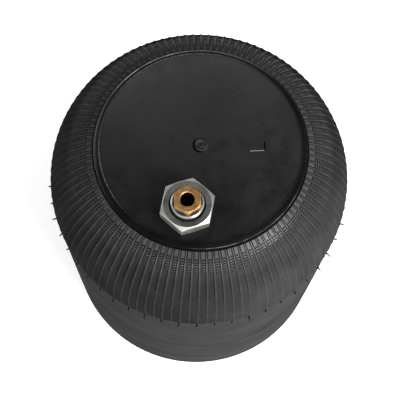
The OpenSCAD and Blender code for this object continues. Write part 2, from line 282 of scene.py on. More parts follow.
class Graph:
    """A material's node tree, with short calls to add and join nodes."""

    def __init__(self, name: str) -> None:
        """Start a material with one shader.

        Args:
            name: Name of the material.
        """
        self.material = bpy.data.materials.new(name)
        self.material.use_nodes = True
        self.tree = self.material.node_tree
        self.tree.nodes.clear()
        self.shader = self.tree.nodes.new("ShaderNodeBsdfPrincipled")
        output = self.tree.nodes.new("ShaderNodeOutputMaterial")
        self.join(self.shader.outputs["BSDF"], output.inputs["Surface"])
        self.coords = self.tree.nodes.new("ShaderNodeTexCoord")
        self.place = self.coords.outputs["Object"]

    def join(self, source: Socket, target: Socket) -> None:
        """Link two sockets."""
        self.tree.links.new(source, target)

    def feed(self, target: Socket, value: object) -> None:
        """Give a socket a link or a plain value.

        Args:
            target: The socket.
            value: Another socket, a number or a colour.
        """
        if isinstance(value, Socket):
            self.join(value, target)
        elif isinstance(value, tuple) and len(value) == 3 and target.type == "RGBA":
            target.default_value = (*value, 1.0)
        else:
            target.default_value = value

    def set(self, **values: object) -> None:
        """Give the shader's sockets links or values, by names with _ for blanks."""
        for name, value in values.items():
            self.feed(self.shader.inputs[name.replace("_", " ")], value)

    def moved(self, shift: Way = (0.0, 0.0, 0.0), scale: Way = (1.0, 1.0, 1.0)) -> Socket:
        """Shift and stretch the object's coordinates.

        Args:
            shift: How far they move.
            scale: How far they stretch.

        Returns:
            The new coordinates.
        """
        mapping = self.tree.nodes.new("ShaderNodeMapping")
        mapping.inputs["Location"].default_value = shift
        mapping.inputs["Scale"].default_value = scale
        self.join(self.place, mapping.inputs["Vector"])
        return mapping.outputs["Vector"]

    def noise(self, mottle: Mottle, place: Optional[Socket] = None) -> Socket:
        """Add a noise.

        Args:
            mottle: Its scale, detail and roughness.
            place: Coordinates, if not the object's own.

        Returns:
            The noise's value.
        """
        node = self.tree.nodes.new("ShaderNodeTexNoise")
        node.inputs["Scale"].default_value = mottle.scale
        node.inputs["Detail"].default_value = mottle.detail
        node.inputs["Roughness"].default_value = mottle.rough
        self.join(place or self.place, node.inputs["Vector"])
        return node.outputs["Fac"]

    def range(self, value: Socket, band: Band) -> Socket:
        """Map a value's band smoothly onto a mask.

        Args:
            value: The value.
            band: Its band and the mask's ends.

        Returns:
            The mask.
        """
        node = self.tree.nodes.new("ShaderNodeMapRange")
        node.interpolation_type = "SMOOTHSTEP"
        node.inputs["From Min"].default_value = band.low
        node.inputs["From Max"].default_value = band.high
        node.inputs["To Min"].default_value = band.at_low
        node.inputs["To Max"].default_value = band.at_high
        self.join(value, node.inputs["Value"])
        return node.outputs["Result"]

    def mottle(self, mottle: Mottle, place: Optional[Socket] = None) -> Socket:
        """Mask of a noise's band."""
        return self.range(self.noise(mottle, place), mottle.band)

    def spread(self, mottle: Mottle, middle: float) -> Socket:
        """Mask of a noise's band, whose ends count from a middle value."""
        low, high = middle + mottle.band.at_low, middle + mottle.band.at_high
        return self.range(self.noise(mottle), Band(mottle.band.low, mottle.band.high, low, high))

    def side(self, side: Side) -> Socket:
        """Mask that changes along a direction."""
        return self.range(self.toward(side.way), side.band)

    def math(self, how: str, a: object, b: object = 0.0) -> Socket:
        """Add a math node.

        Args:
            how: Its operation.
            a: First value or socket.
            b: Second value or socket.

        Returns:
            The result.
        """
        node = self.tree.nodes.new("ShaderNodeMath")
        node.operation = how
        self.feed(node.inputs[0], a)
        self.feed(node.inputs[1], b)
        return node.outputs[0]

    def product(self, first: object, *others: object) -> Socket:
        """Multiply values in order.

        Args:
            first: First value or socket.
            *others: The others.

        Returns:
            The product.
        """
        total = first
        for other in others:
            total = self.math("MULTIPLY", total, other)
        return total

    def mix(self, share: object, a: object, b: object) -> Socket:
        """Mix two colours.

        Args:
            share: Share of the second colour.
            a: First colour or socket.
            b: Second colour or socket.

        Returns:
            The mixed colour.
        """
        node = self.tree.nodes.new("ShaderNodeMix")
        node.data_type = "RGBA"
        for index, value in ((0, share), (6, a), (7, b)):
            self.feed(node.inputs[index], value)
        return node.outputs[2]

    def radius(self, centre: Point = (0.0, 0.0)) -> Socket:
        """Measure the distance from an upright axis.

        Args:
            centre: Where the axis stands, in plan.

        Returns:
            The distance.
        """
        flat = self.tree.nodes.new("ShaderNodeVectorMath")
        flat.operation = "MULTIPLY"
        flat.inputs[1].default_value = (1, 1, 0)
        self.join(self.moved((-centre[0], -centre[1], 0.0)), flat.inputs[0])
        length = self.tree.nodes.new("ShaderNodeVectorMath")
        length.operation = "LENGTH"
        self.join(flat.outputs[0], length.inputs[0])
        return length.outputs["Value"]

    def upright(self, vector: Socket) -> Socket:
        """Take the upright part of a vector.

        Args:
            vector: The vector.

        Returns:
            Its Z.
        """
        node = self.tree.nodes.new("ShaderNodeSeparateXYZ")
        self.join(vector, node.inputs[0])
        return node.outputs["Z"]

    def height(self) -> Socket:
        """Height of a point in the object's coordinates."""
        return self.upright(self.place)

    def facing(self) -> Socket:
        """How far a face looks up, from minus one to one."""
        return self.upright(self.coords.outputs["Normal"])

    def toward(self, way: Way) -> Socket:
        """Measure the distance along a direction.

        Args:
            way: The direction.

        Returns:
            The distance.
        """
        node = self.tree.nodes.new("ShaderNodeVectorMath")
        node.operation = "DOT_PRODUCT"
        node.inputs[1].default_value = way
        self.join(self.place, node.inputs[0])
        return node.outputs["Value"]

    def attribute(self, name: str) -> Socket:
        """Read one of the mesh's own attributes.

        Args:
            name: Name of the attribute.

        Returns:
            Its value.
        """
        node = self.tree.nodes.new("ShaderNodeAttribute")
        node.attribute_name = name
        return node.outputs["Fac"]

    def bump(self, height: Socket, relief: Relief, under: Optional[Socket] = None) -> Socket:
        """Add a bump.

        Args:
            height: Its height.
            relief: Its depth and strength.
            under: Another bump that it lies on.

        Returns:
            The bumped normal.
        """
        node = self.tree.nodes.new("ShaderNodeBump")
        node.inputs["Strength"].default_value = relief.strength
        node.inputs["Distance"].default_value = relief.depth
        self.join(height, node.inputs["Height"])
        if under is not None:
            self.join(under, node.inputs["Normal"])
        return node.outputs["Normal"]


@dataclass(frozen=True)
class RubberFinish:
    """Moulded black rubber with lint and a fine grain.

    Where crest is set, the mesh's crest attribute lightens the ridges, partly with scuffs and partly with a
    painted highlight, and darkens the gaps with painted shade, both strongest on the lit front-right side.
    The colour also gets painted shade towards the bottom and a painted sheen on the right-front, and the
    surface is duller towards the mould line.
    """

    name: str
    dark: Colour = (0.0185, 0.0185, 0.0194)
    light: Colour = (0.0245, 0.0245, 0.0254)
    # Tone of lint and scuffs, and of the painted sheen and painted highlight.
    worn_and_sheen: Colour = (0.052, 0.052, 0.0526)
    gap_shade: Colour = (0.0060, 0.0060, 0.0062)
    roughness: float = 0.44
    shine: float = 0.20
    crest: bool = False
    cloud: Mottle = Mottle(38.0, 3.0, 0.6, Band(0.34, 0.68))
    lint: Mottle = Mottle(620.0, 2.0, 0.7, Band(0.66, 0.80, 0.0, 0.30))
    satin: Mottle = Mottle(90.0, 3.0, band=Band(0.3, 0.7, -0.05, 0.07))
    pores: Mottle = Mottle(2600.0, 3.0, 0.6)
    pore_relief: Relief = Relief(0.00005)
    # lit_side: mask of the front-right side, where the key light falls; painted light and shine are strongest
    # there.
    lit_side: Side = Side((0.6, -0.8, 0.0), Band(-0.06, 0.07, 0.35, 1.0))
    gaps: Band = Band(-0.35, -0.02, 0.85, 0.0)
    crests: Band = Band(0.40, 0.95)
    polish: Band = Band(0.40, 0.95, 0.0, 0.10)
    scuffs: Mottle = Mottle(240.0, band=Band(0.3, 0.7, 0.3, 0.8))
    dull: float = 0.0
    gloss_height: float = 0.293
    shine_height: float = 0.310
    low_shade: Band = Band(0.292, 0.310, 0.78, 1.0)
    sheen_side: Side = Side((0.83, -0.56, 0.0), Band(0.075, 0.112, 0.0, 0.42))
    sheen_mottle: Mottle = Mottle(70.0, 3.0, band=Band(0.3, 0.7, 0.6, 1.0))

    def material(self) -> bpy.types.Material:
        """Make the material.

        Returns:
            The material.
        """
        g = Graph(self.name)
        colour = g.mix(g.mottle(self.cloud), self.dark, self.light)
        colour = g.mix(g.mottle(self.lint), colour, self.worn_and_sheen)
        rough = g.spread(self.satin, self.roughness)
        shine = self.shine
        if self.crest:
            crest = g.attribute("crest")
            lit_side = g.side(self.lit_side)
            # Painted shade in the gaps between the ridges and bars, strongest on the lit side.
            colour = g.mix(g.product(lit_side, lit_side, g.range(crest, self.gaps)), colour, self.gap_shade)
            # Lighter crests: partly scuffs, partly a painted highlight that is strongest on the lit side.
            scuff_and_highlight = g.product(g.range(crest, self.crests), g.mottle(self.scuffs), lit_side)
            colour = g.mix(scuff_and_highlight, colour, self.worn_and_sheen)
            rough = g.math("SUBTRACT", rough, g.range(crest, self.polish))
            height = g.height()
            gloss = Band(self.gloss_height, self.shine_height, self.dull, self.shine)
            shine = g.product(lit_side, g.range(height, gloss))
            # Painted shade: the colour is darker towards the bottom.
            colour = g.mix(g.range(height, self.low_shade), BLACK, colour)
            # Painted sheen on the lit right-front, near the widest part.
            colour = g.mix(g.product(g.side(self.sheen_side), g.mottle(self.sheen_mottle)), colour, self.worn_and_sheen)
        g.set(Base_Color=colour, Roughness=rough, Specular_IOR_Level=shine,
              Normal=g.bump(g.noise(self.pores), self.pore_relief))
        return g.material


@dataclass(frozen=True)
class WallFinish:
    """Smooth rubber wall with faint wrap lines round it."""

    name: str
    dark: Colour = (0.0300, 0.0300, 0.0306)
    light: Colour = (0.0352, 0.0352, 0.0358)
    streak: Colour = (0.0520, 0.0520, 0.0526)
    shade: Colour = (0.0170, 0.0170, 0.0174)
    roughness: float = 0.50
    shine: float = 0.0
    cloud: Mottle = Mottle(24.0, 3.0, 0.6, Band(0.32, 0.70))
    wraps: Mottle = Mottle(46.0, 3.0, 0.55)
    wrap_stretch: Way = (0.05, 0.05, 1.0)
    wrap_light: Band = Band(0.50, 0.66, 0.0, 0.75)
    wrap_dark: Band = Band(0.34, 0.44, 0.70, 0.0)
    wrap_relief: Relief = Relief(0.0003, 0.4)
    broken: Mottle = Mottle(15.0, band=Band(0.36, 0.60, 0.20, 1.0))
    lines: Mottle = Mottle(420.0)
    line_stretch: Way = (0.04, 0.04, 1.0)
    line_light: Band = Band(0.50, 0.70, 0.0, 0.35)
    line_relief: Relief = Relief(0.00008, 0.7)
    lint: Mottle = Mottle(540.0, 2.0, 0.7, Band(0.66, 0.80, 0.0, 0.35))
    pores: Mottle = Mottle(2300.0, 3.0, 0.6)
    pore_relief: Relief = Relief(0.00005, 0.8)
    satin: Mottle = Mottle(70.0, 3.0, band=Band(0.3, 0.7, -0.06, 0.08))

    def material(self) -> bpy.types.Material:
        """Make the material.

        Returns:
            The material.
        """
        g = Graph(self.name)
        wraps = g.noise(self.wraps, g.moved(scale=self.wrap_stretch))
        lines = g.noise(self.lines, g.moved(scale=self.line_stretch))
        broken = g.mottle(self.broken)
        colour = g.mix(g.mottle(self.cloud), self.dark, self.light)
        colour = g.mix(g.product(broken, g.range(wraps, self.wrap_light)), colour, self.streak)
        colour = g.mix(g.product(broken, g.range(wraps, self.wrap_dark)), colour, self.shade)
        colour = g.mix(g.range(lines, self.line_light), colour, self.streak)
        colour = g.mix(g.mottle(self.lint), colour, self.streak)
        normal = g.bump(wraps, self.wrap_relief)
        normal = g.bump(lines, self.line_relief, normal)
        normal = g.bump(g.noise(self.pores), self.pore_relief, normal)
        g.set(Base_Color=colour, Roughness=g.spread(self.satin, self.roughness), Normal=normal,
              Specular_IOR_Level=self.shine)
        return g.material


@dataclass(frozen=True)
class PaintFinish:
    """Black paint on pressed steel: dusty, with painted highlights along its rim, and a painted shade and a
    painted highlight round the dimple.
    """

    name: str
    black: Colour = (0.0031, 0.0031, 0.0034)
    haze: Colour = (0.0053, 0.0053, 0.0056)
    # Tone of the dusty specks and ring, and of the painted highlight in the dimple.
    dust_and_glint: Colour = (0.075, 0.073, 0.069)
    rim_highlight_tone: Colour = (0.100, 0.100, 0.098)
    far_highlight_tone: Colour = (0.34, 0.34, 0.33)
    roughness: float = 0.30
    cloud: Mottle = Mottle(26.0, 4.0, 0.6, Band(0.36, 0.70))
    specks: Mottle = Mottle(1150.0, 1.0, 0.4, Band(0.70, 0.78))
    speck_patch: Mottle = Mottle(17.0, band=Band(0.46, 0.64))
    speck_share: float = 0.40
    ring_core: float = 0.3
    dust_radius: float = 0.0752
    dust_half: float = 0.0008
    flakes: Mottle = Mottle(640.0, 3.0, 0.7, Band(0.40, 0.60, 0.22, 1.0))
    drift: Mottle = Mottle(9.0, 1.0, band=Band(0.34, 0.52, 0.25, 0.90))
    drift_side: Side = Side((-0.90, 0.42, 0.0), Band(-0.020, 0.040, 0.12, 1.0))
    rim_highlight_radius: float = 0.0791
    rim_highlight_half: float = 0.0003
    rim_highlight_breaks: Mottle = Mottle(110.0, 4.0, 0.7, Band(0.40, 0.60, 0.2, 0.8))
    rim_highlight_side: Side = Side((0.67, -0.74, 0.0), Band(0.060, 0.076, 0.03, 1.0))
    far_highlight_radius: float = 0.0782
    far_highlight_half: float = 0.0006
    far_highlight_breaks: Mottle = Mottle(150.0, 3.0, 0.7, Band(0.36, 0.58, 0.15, 1.0))
    far_highlight_side: Side = Side((-0.68, 0.73, 0.0), Band(0.0690, 0.0750))
    dimple_shade_radius: float = 0.0054
    dimple_shade_half: float = 0.0012
    dimple_shade_tone: float = 0.4
    dimple_shade_side: Side = Side((-0.75, -0.66, 0.0), Band(-0.001, 0.004))
    glint_radius: float = 0.0040
    glint_half: float = 0.0009
    glint_side: Side = Side((0.50, -0.86, 0.0), Band(0.0005, 0.0035, 0.0, 0.45))
    waves: Mottle = Mottle(190.0)
    wave_relief: Relief = Relief(0.00008, 0.4)
    peel: Mottle = Mottle(1500.0)
    peel_relief: Relief = Relief(0.00002, 0.6)
    flat: Band = Band(0.0728, 0.0758, 1.0, 0.0)
    rim_side: Side = Side((-0.80, 0.60, 0.0), Band(-0.005, 0.050, 0.004, 0.14))
    front_side: Side = Side((-0.45, -0.89, 0.0), Band(0.005, 0.055, 0.44, 0.28))
    right_side: Side = Side((0.93, 0.37, 0.0), Band(0.0, 0.060, 1.0, 1.5))
    satin: Mottle = Mottle(60.0, 4.0, 0.65, Band(0.3, 0.7, -0.04, 0.07))

    def material(self) -> bpy.types.Material:
        """Make the material.

        Returns:
            The material.
        """
        g = Graph(self.name)
        radius = g.radius()
        colour = g.mix(g.mottle(self.cloud), self.black, self.haze)
        specks = g.product(g.mottle(self.speck_patch), self.speck_share, g.mottle(self.specks))
        colour = g.mix(specks, colour, self.dust_and_glint)
        dust_and_glint = g.product(g.mottle(self.drift), g.side(self.drift_side), g.mottle(self.flakes),
                         self.ring(g, radius, self.dust_radius, self.dust_half))
        colour = g.mix(dust_and_glint, colour, self.dust_and_glint)
        # Painted highlight: a thin pale line on the rim's outer edge, on the lit front-right, broken by a
        # mottle.
        edge = g.product(g.mottle(self.rim_highlight_breaks), g.side(self.rim_highlight_side),
                         self.ring(g, radius, self.rim_highlight_radius, self.rim_highlight_half))
        colour = g.mix(edge, colour, self.rim_highlight_tone)
        # Painted highlight: a thin bright broken line on the rim's edge at the back-left.
        far_highlight = g.product(g.mottle(self.far_highlight_breaks), g.side(self.far_highlight_side),
                             self.ring(g, radius, self.far_highlight_radius, self.far_highlight_half))
        colour = g.mix(far_highlight, colour, self.far_highlight_tone)
        # Painted shade: a dark crescent round the dimple on its front-left.
        dimple_shade = g.product(self.ring(g, radius, self.dimple_shade_radius, self.dimple_shade_half), g.side(self.dimple_shade_side))
        # Painted highlight: a pale crescent inside the dimple on its front-right.
        glint = g.product(self.ring(g, radius, self.glint_radius, self.glint_half), g.side(self.glint_side))
        colour = g.mix(dimple_shade, colour, darker(self.black, self.dimple_shade_tone))
        colour = g.mix(glint, colour, self.dust_and_glint)
        normal = g.bump(g.noise(self.waves), self.wave_relief)
        normal = g.bump(g.noise(self.peel), self.peel_relief, normal)
        g.set(Base_Color=colour, Roughness=g.spread(self.satin, self.roughness), Normal=normal,
              Specular_IOR_Level=self.gloss(g, radius, dimple_shade))
        return g.material

    def gloss(self, g: Graph, radius: Socket, dimple_shade: Socket) -> Socket:
        """Set the paint's gloss on the flat and round the rim.

        Args:
            g: The material's nodes.
            radius: Distance from the plate's axis.
            dimple_shade: Mask of the painted shade round the dimple, which has no gloss.

        Returns:
            The gloss.
        """
        flat = g.range(radius, self.flat)
        on_flat = g.product(g.side(self.front_side), g.side(self.right_side), flat)
        on_rim = g.product(g.math("SUBTRACT", 1.0, flat), g.side(self.rim_side))
        return g.product(g.math("ADD", on_flat, on_rim), g.math("SUBTRACT", 1.0, dimple_shade))

    def ring(self, g: Graph, radius: Socket, middle: float, half: float) -> Socket:
        """Mask a ring round the plate.

        Args:
            g: The material's nodes.
            radius: Distance from the plate's axis.
            middle: Radius of the ring's middle.
            half: Half of the ring's width.

        Returns:
            One on the ring, fading to nothing at its edges.
        """
        off = g.math("ABSOLUTE", g.math("SUBTRACT", radius, middle))
        return g.range(off, Band(half * self.ring_core, half, 1.0, 0.0))


@dataclass(frozen=True)
class MetalFinish:
    """Bare or plated metal, with mottling and turning marks round an axis.

    Where side_dull is set, upright faces are rougher and darker, a painted shade,
    and the faces on top are darkened in a mottle, also a painted shade.
    """

    name: str
    tone: Colour
    shade: Colour
    roughness: float = 0.30
    axis: Point = (0.0, 0.0)
    cloud: Mottle = Mottle(420.0, 4.0, 0.65, Band(0.30, 0.70))
    ring_pitch: float = 0.0004
    ring_relief: Relief = Relief(0.000006, 0.8)
    wobble: Mottle = Mottle(160.0)
    wobble_turn: float = 2.0
    pores: Mottle = Mottle(2200.0, 2.0, 0.6)
    pore_relief: Relief = Relief(0.00001, 0.7)
    satin: Mottle = Mottle(260.0, 3.0, 0.6, Band(0.3, 0.7, -0.04, 0.06))
    side_dull: float = 0.0
    side_shade_tone: float = 0.40
    side_faces: Band = Band(0.10, 0.30, 1.0, 0.0)
    top_shade_tone: float = 0.36
    top_faces: Band = Band(0.93, 0.985)
    top_shade_mottle: Mottle = Mottle(130.0, 3.0, 0.6, Band(0.32, 0.68, 0.70, 1.0))

    def material(self) -> bpy.types.Material:
        """Make the material.

        Returns:
            The material.
        """
        g = Graph(self.name)
        colour = g.mix(g.mottle(self.cloud), self.shade, self.tone)
        turns = g.product(g.radius(self.axis), TAU / self.ring_pitch)
        rings = g.math("SINE", g.math("ADD", turns, g.product(g.noise(self.wobble), self.wobble_turn)))
        normal = g.bump(rings, self.ring_relief)
        normal = g.bump(g.noise(self.pores), self.pore_relief, normal)
        rough = g.spread(self.satin, self.roughness)
        if self.side_dull:
            # Painted shade: upright faces darker, and top faces darker in a mottle.
            side = g.range(g.facing(), self.side_faces)
            rough = g.math("ADD", rough, g.product(side, self.side_dull))
            colour = g.mix(side, colour, darker(self.tone, self.side_shade_tone))
            top = g.product(g.range(g.facing(), self.top_faces), g.mottle(self.top_shade_mottle))
            colour = g.mix(top, colour, darker(self.tone, self.top_shade_tone))
        g.set(Base_Color=colour, Metallic=1.0, Roughness=rough, Normal=normal)
        return g.material


@dataclass(frozen=True)
class MouldedFinish:
    """Glass-filled black plastic with a sparkle grain and flow marks."""

    name: str
    dark: Colour = (0.018, 0.018, 0.019)
    light: Colour = (0.034, 0.034, 0.036)
    roughness: float = 0.48
    shine: float = 0.5
    flow: Mottle = Mottle(30.0, 4.0, 0.6, Band(0.35, 0.68))
    flow_stretch: Way = (1.0, 1.0, 0.25)
    grain: Mottle = Mottle(1700.0, 3.0, 0.6)
    grain_relief: Relief = Relief(0.00006, 0.8)
    satin: Mottle = Mottle(120.0, 3.0, band=Band(0.3, 0.7, -0.07, 0.10))

    def material(self) -> bpy.types.Material:
        """Make the material.

        Returns:
            The material.
        """
        g = Graph(self.name)
        flow = g.mottle(self.flow, g.moved(scale=self.flow_stretch))
        g.set(Base_Color=g.mix(flow, self.dark, self.light), Roughness=g.spread(self.satin, self.roughness),
              Normal=g.bump(g.noise(self.grain), self.grain_relief), Specular_IOR_Level=self.shine)
        return g.material


@dataclass(frozen=True)
class ScribeFinish:
    """Floor of a scribed line, coloured as painted light: pale for a painted highlight, near black for a
    painted shadow, varied by a mottle.
    """

    name: str
    tone: Colour = (0.24, 0.24, 0.24)
    shine: float = 0.3
    roughness: float = 0.5
    thin: float = 0.7
    line_mottle: Mottle = Mottle(900.0, 3.0, 0.7, Band(0.35, 0.65))

    def material(self) -> bpy.types.Material:
        # Painted highlight and painted shadow for the floors of the tick's two arms.
        """Make the material.

        Returns:
            The material.
        """
        g = Graph(self.name)
        g.set(Base_Color=g.mix(g.mottle(self.line_mottle), darker(self.tone, self.thin), self.tone),
              Roughness=self.roughness, Specular_IOR_Level=self.shine)
        return g.material


# Head


@dataclass
class BeadPlate:
    """Pressed plate whose rim bends down and curls under the upper bead."""

    top: float = 0.316
    radius: float = 0.080
    sheet: float = 0.003
    bend: float = 0.005
    rim_wall: float = 0.005
    curl: float = 0.0065
    lip: float = -110.0
    flat_rings: tuple[float, ...] = (0.012, 0.024, 0.036, 0.048, 0.060, 0.068, 0.073)
    under_rings: tuple[float, ...] = (0.06, 0.03, 0.0)
    dimple_radius: float = 0.0045
    dimple_depth: float = 0.0012
    dimple_arc: float = 0.96
    dimple_lip: float = 0.00005
    lip_crown: float = 1.12
    lip_foot: float = 1.45
    stud_hole: float = 0.0123
    stud_y: float = -0.051
    hole_steps: int = 64
    hole_depth: float = 0.02
    tick_corner: Point = (0.0472, -0.0064)
    tick_turn: float = 14.0
    tick_long: float = 0.0104
    tick_short: float = 0.0064
    tick_width: float = 0.0010
    tick_depth: float = 0.0004
    tick_cutter: float = 0.002
    tick_bottom: tuple[float, float] = (1.6, 0.2)
    long_reach: float = 1.1
    short_reach: float = 1.2
    wave_rise: float = 0.00018
    wave_scale: float = 28.0
    wave_fade: float = 0.02
    wave_skin: float = 0.002
    steps: int = 160
    sharp: float = 40.0
    cut_sharp: float = 30.0

    def profile(self) -> list[Point]:
        """Lay the sheet's section from the axis over the rim and back.

        Returns:
            The section's points.
        """
        under = self.top - self.sheet
        z_bend = self.top - self.bend
        z_curl = z_bend - self.rim_wall
        x_curl = self.radius - self.curl
        x_bend = self.radius - self.bend
        dip = self.dimple_depth
        bowl = (self.dimple_radius ** 2 + dip ** 2) / (2.0 * dip)
        half = math.degrees(math.asin(self.dimple_radius / bowl))
        centre = arc(0.0, self.top - dip + bowl, bowl, -90.0, -90.0 + half * self.dimple_arc, steps=6)
        lip = [(self.dimple_radius * self.lip_crown, self.top + self.dimple_lip),
               (self.dimple_radius * self.lip_foot, self.top)]
        return (centre + lip + [(ring, self.top) for ring in self.flat_rings]
                + arc(x_bend, z_bend, self.bend, 90.0, 0.0, steps=10)
                + arc(x_curl, z_curl, self.curl, 0.0, self.lip, steps=12)
                + arc(x_curl, z_curl, self.curl - self.sheet, self.lip, 0.0, steps=8)
                + arc(x_bend, z_bend, self.bend - self.sheet, 0.0, 90.0, steps=5)
                + [(ring, under) for ring in self.under_rings])

    def cutter(self) -> bpy.types.Object:
        """Make the stud's hole and the scribed tick as one cutter.

        Returns:
            The cutter.
        """
        bm = bmesh.new()
        bmesh.ops.create_cone(bm, cap_ends=True, segments=self.hole_steps, radius1=self.stud_hole,
                              radius2=self.stud_hole, depth=self.hole_depth,
                              matrix=Matrix.Translation((0.0, self.stud_y, self.top)))
        turn = Matrix.Rotation(math.radians(self.tick_turn), 4, "Z")
        x, y = self.tick_corner
        wide = self.tick_width
        arms = ((x - self.tick_long / 2, y, self.tick_long + wide, wide),
                (x, y + self.tick_short / 2, wide, self.tick_short + wide))
        for x_mid, y_mid, long, across in arms:
            place = Matrix.Translation((x_mid, y_mid, self.top - self.tick_depth + self.tick_cutter / 2))
            size = Matrix.Diagonal((long, across, self.tick_cutter, 1.0))
            bmesh.ops.create_cube(bm, size=1.0, matrix=turn @ place @ size)
        return make_piece("plate_cutter", bm)

    def build(self) -> bpy.types.Object:
        """Spin the sheet, give it a pressed sheet's slight unevenness and cut it.

        Returns:
            The plate.
        """
        bm = bmesh.new()
        spin_full(bm, lay_chain(bm, self.profile(), closed=False), self.steps)
        for vert in bm.verts:
            reach = math.hypot(vert.co.x, vert.co.y)
            if reach < self.radius - self.bend and vert.co.z > self.top - self.wave_skin:
                fade = min(1.0, reach / self.wave_fade)
                vert.co.z += self.wave_rise * fade * noise.noise(vert.co * self.wave_scale)
        plate = make_piece("bead_plate", bm, self.sharp)
        cut_out(plate, self.cutter(), self.cut_sharp)
        return plate

    def dress(self, plate: bpy.types.Object, paint: bpy.types.Material, tick_highlight: bpy.types.Material,
              tick_shadow: bpy.types.Material) -> None:
        """Paint the plate, and give the floor of the tick's long arm a painted highlight and that of its short
        arm a painted shadow.

        Args:
            plate: The plate.
            paint: Its paint.
            tick_highlight: Painted highlight for the floor of the tick's long arm.
            tick_shadow: Painted shadow for the floor of the tick's short arm.
        """
        plate.data.materials.clear()
        for material in (paint, tick_highlight, tick_shadow):
            plate.data.materials.append(material)
        back = Matrix.Rotation(-math.radians(self.tick_turn), 3, "Z")
        x, y = self.tick_corner
        low, high = (self.top - self.tick_depth * share for share in self.tick_bottom)
        for face in plate.data.polygons:
            middle = back @ face.center
            dx, dy = middle.x - x, middle.y - y
            in_long = abs(dy) < self.tick_width and -self.tick_long * self.long_reach < dx < 0.0
            in_short = abs(dx) < self.tick_width and 0.0 <= dy < self.tick_short * self.short_reach
            # The long arm's floor takes the painted highlight, the short arm's the painted shadow.
            arm = 1 if in_long else 2 if in_short else 0
            face.material_index = arm if low < middle.z < high else 0


def hex_reach(angle: float, flats: float, corner: float) -> float:
    """Measure from a hexagon's centre to its side in a direction.

    Args:
        angle: The direction, in radians.
        flats: Distance across the flats.
        corner: Direction of one corner, in radians.

    Returns:
        The distance.
    """
    sixth = math.pi / 3.0
    off = (angle - corner) % sixth - sixth / 2.0
    return flats / 2.0 / math.cos(off)


def push_to_hex(bm: bmesh.types.BMesh, flats: float, corner: float, wall: float, cone: float,
                low: float, high: float, slope: float, both: bool) -> None:
    """Push a turned wall out to a hexagon whose corners a cone cuts back.

    Args:
        bm: The turned mesh, with its axis on Z.
        flats: Distance across the flats.
        corner: Direction of one corner, in radians.
        wall: Radius at which the wall was turned.
        cone: Radius at which the cone starts on the end face.
        low: Height of the wall's lower end.
        high: Height of the wall's upper end.
        slope: Drop of the cone per unit of radius.
        both: Whether the lower end is cut back as well.
    """
    for vert in bm.verts:
        z = vert.co.z
        if abs(math.hypot(vert.co.x, vert.co.y) - wall) > TOUCH or not low - TOUCH < z < high + TOUCH:
            continue
        angle = math.atan2(vert.co.y, vert.co.x)
        reach = hex_reach(angle, flats, corner)
        drop = (reach - cone) * slope
        if z > high - TOUCH:
            z = high - drop
        elif z < low + TOUCH and both:
            z = low + drop
        vert.co = (reach * math.cos(angle), reach * math.sin(angle), z)


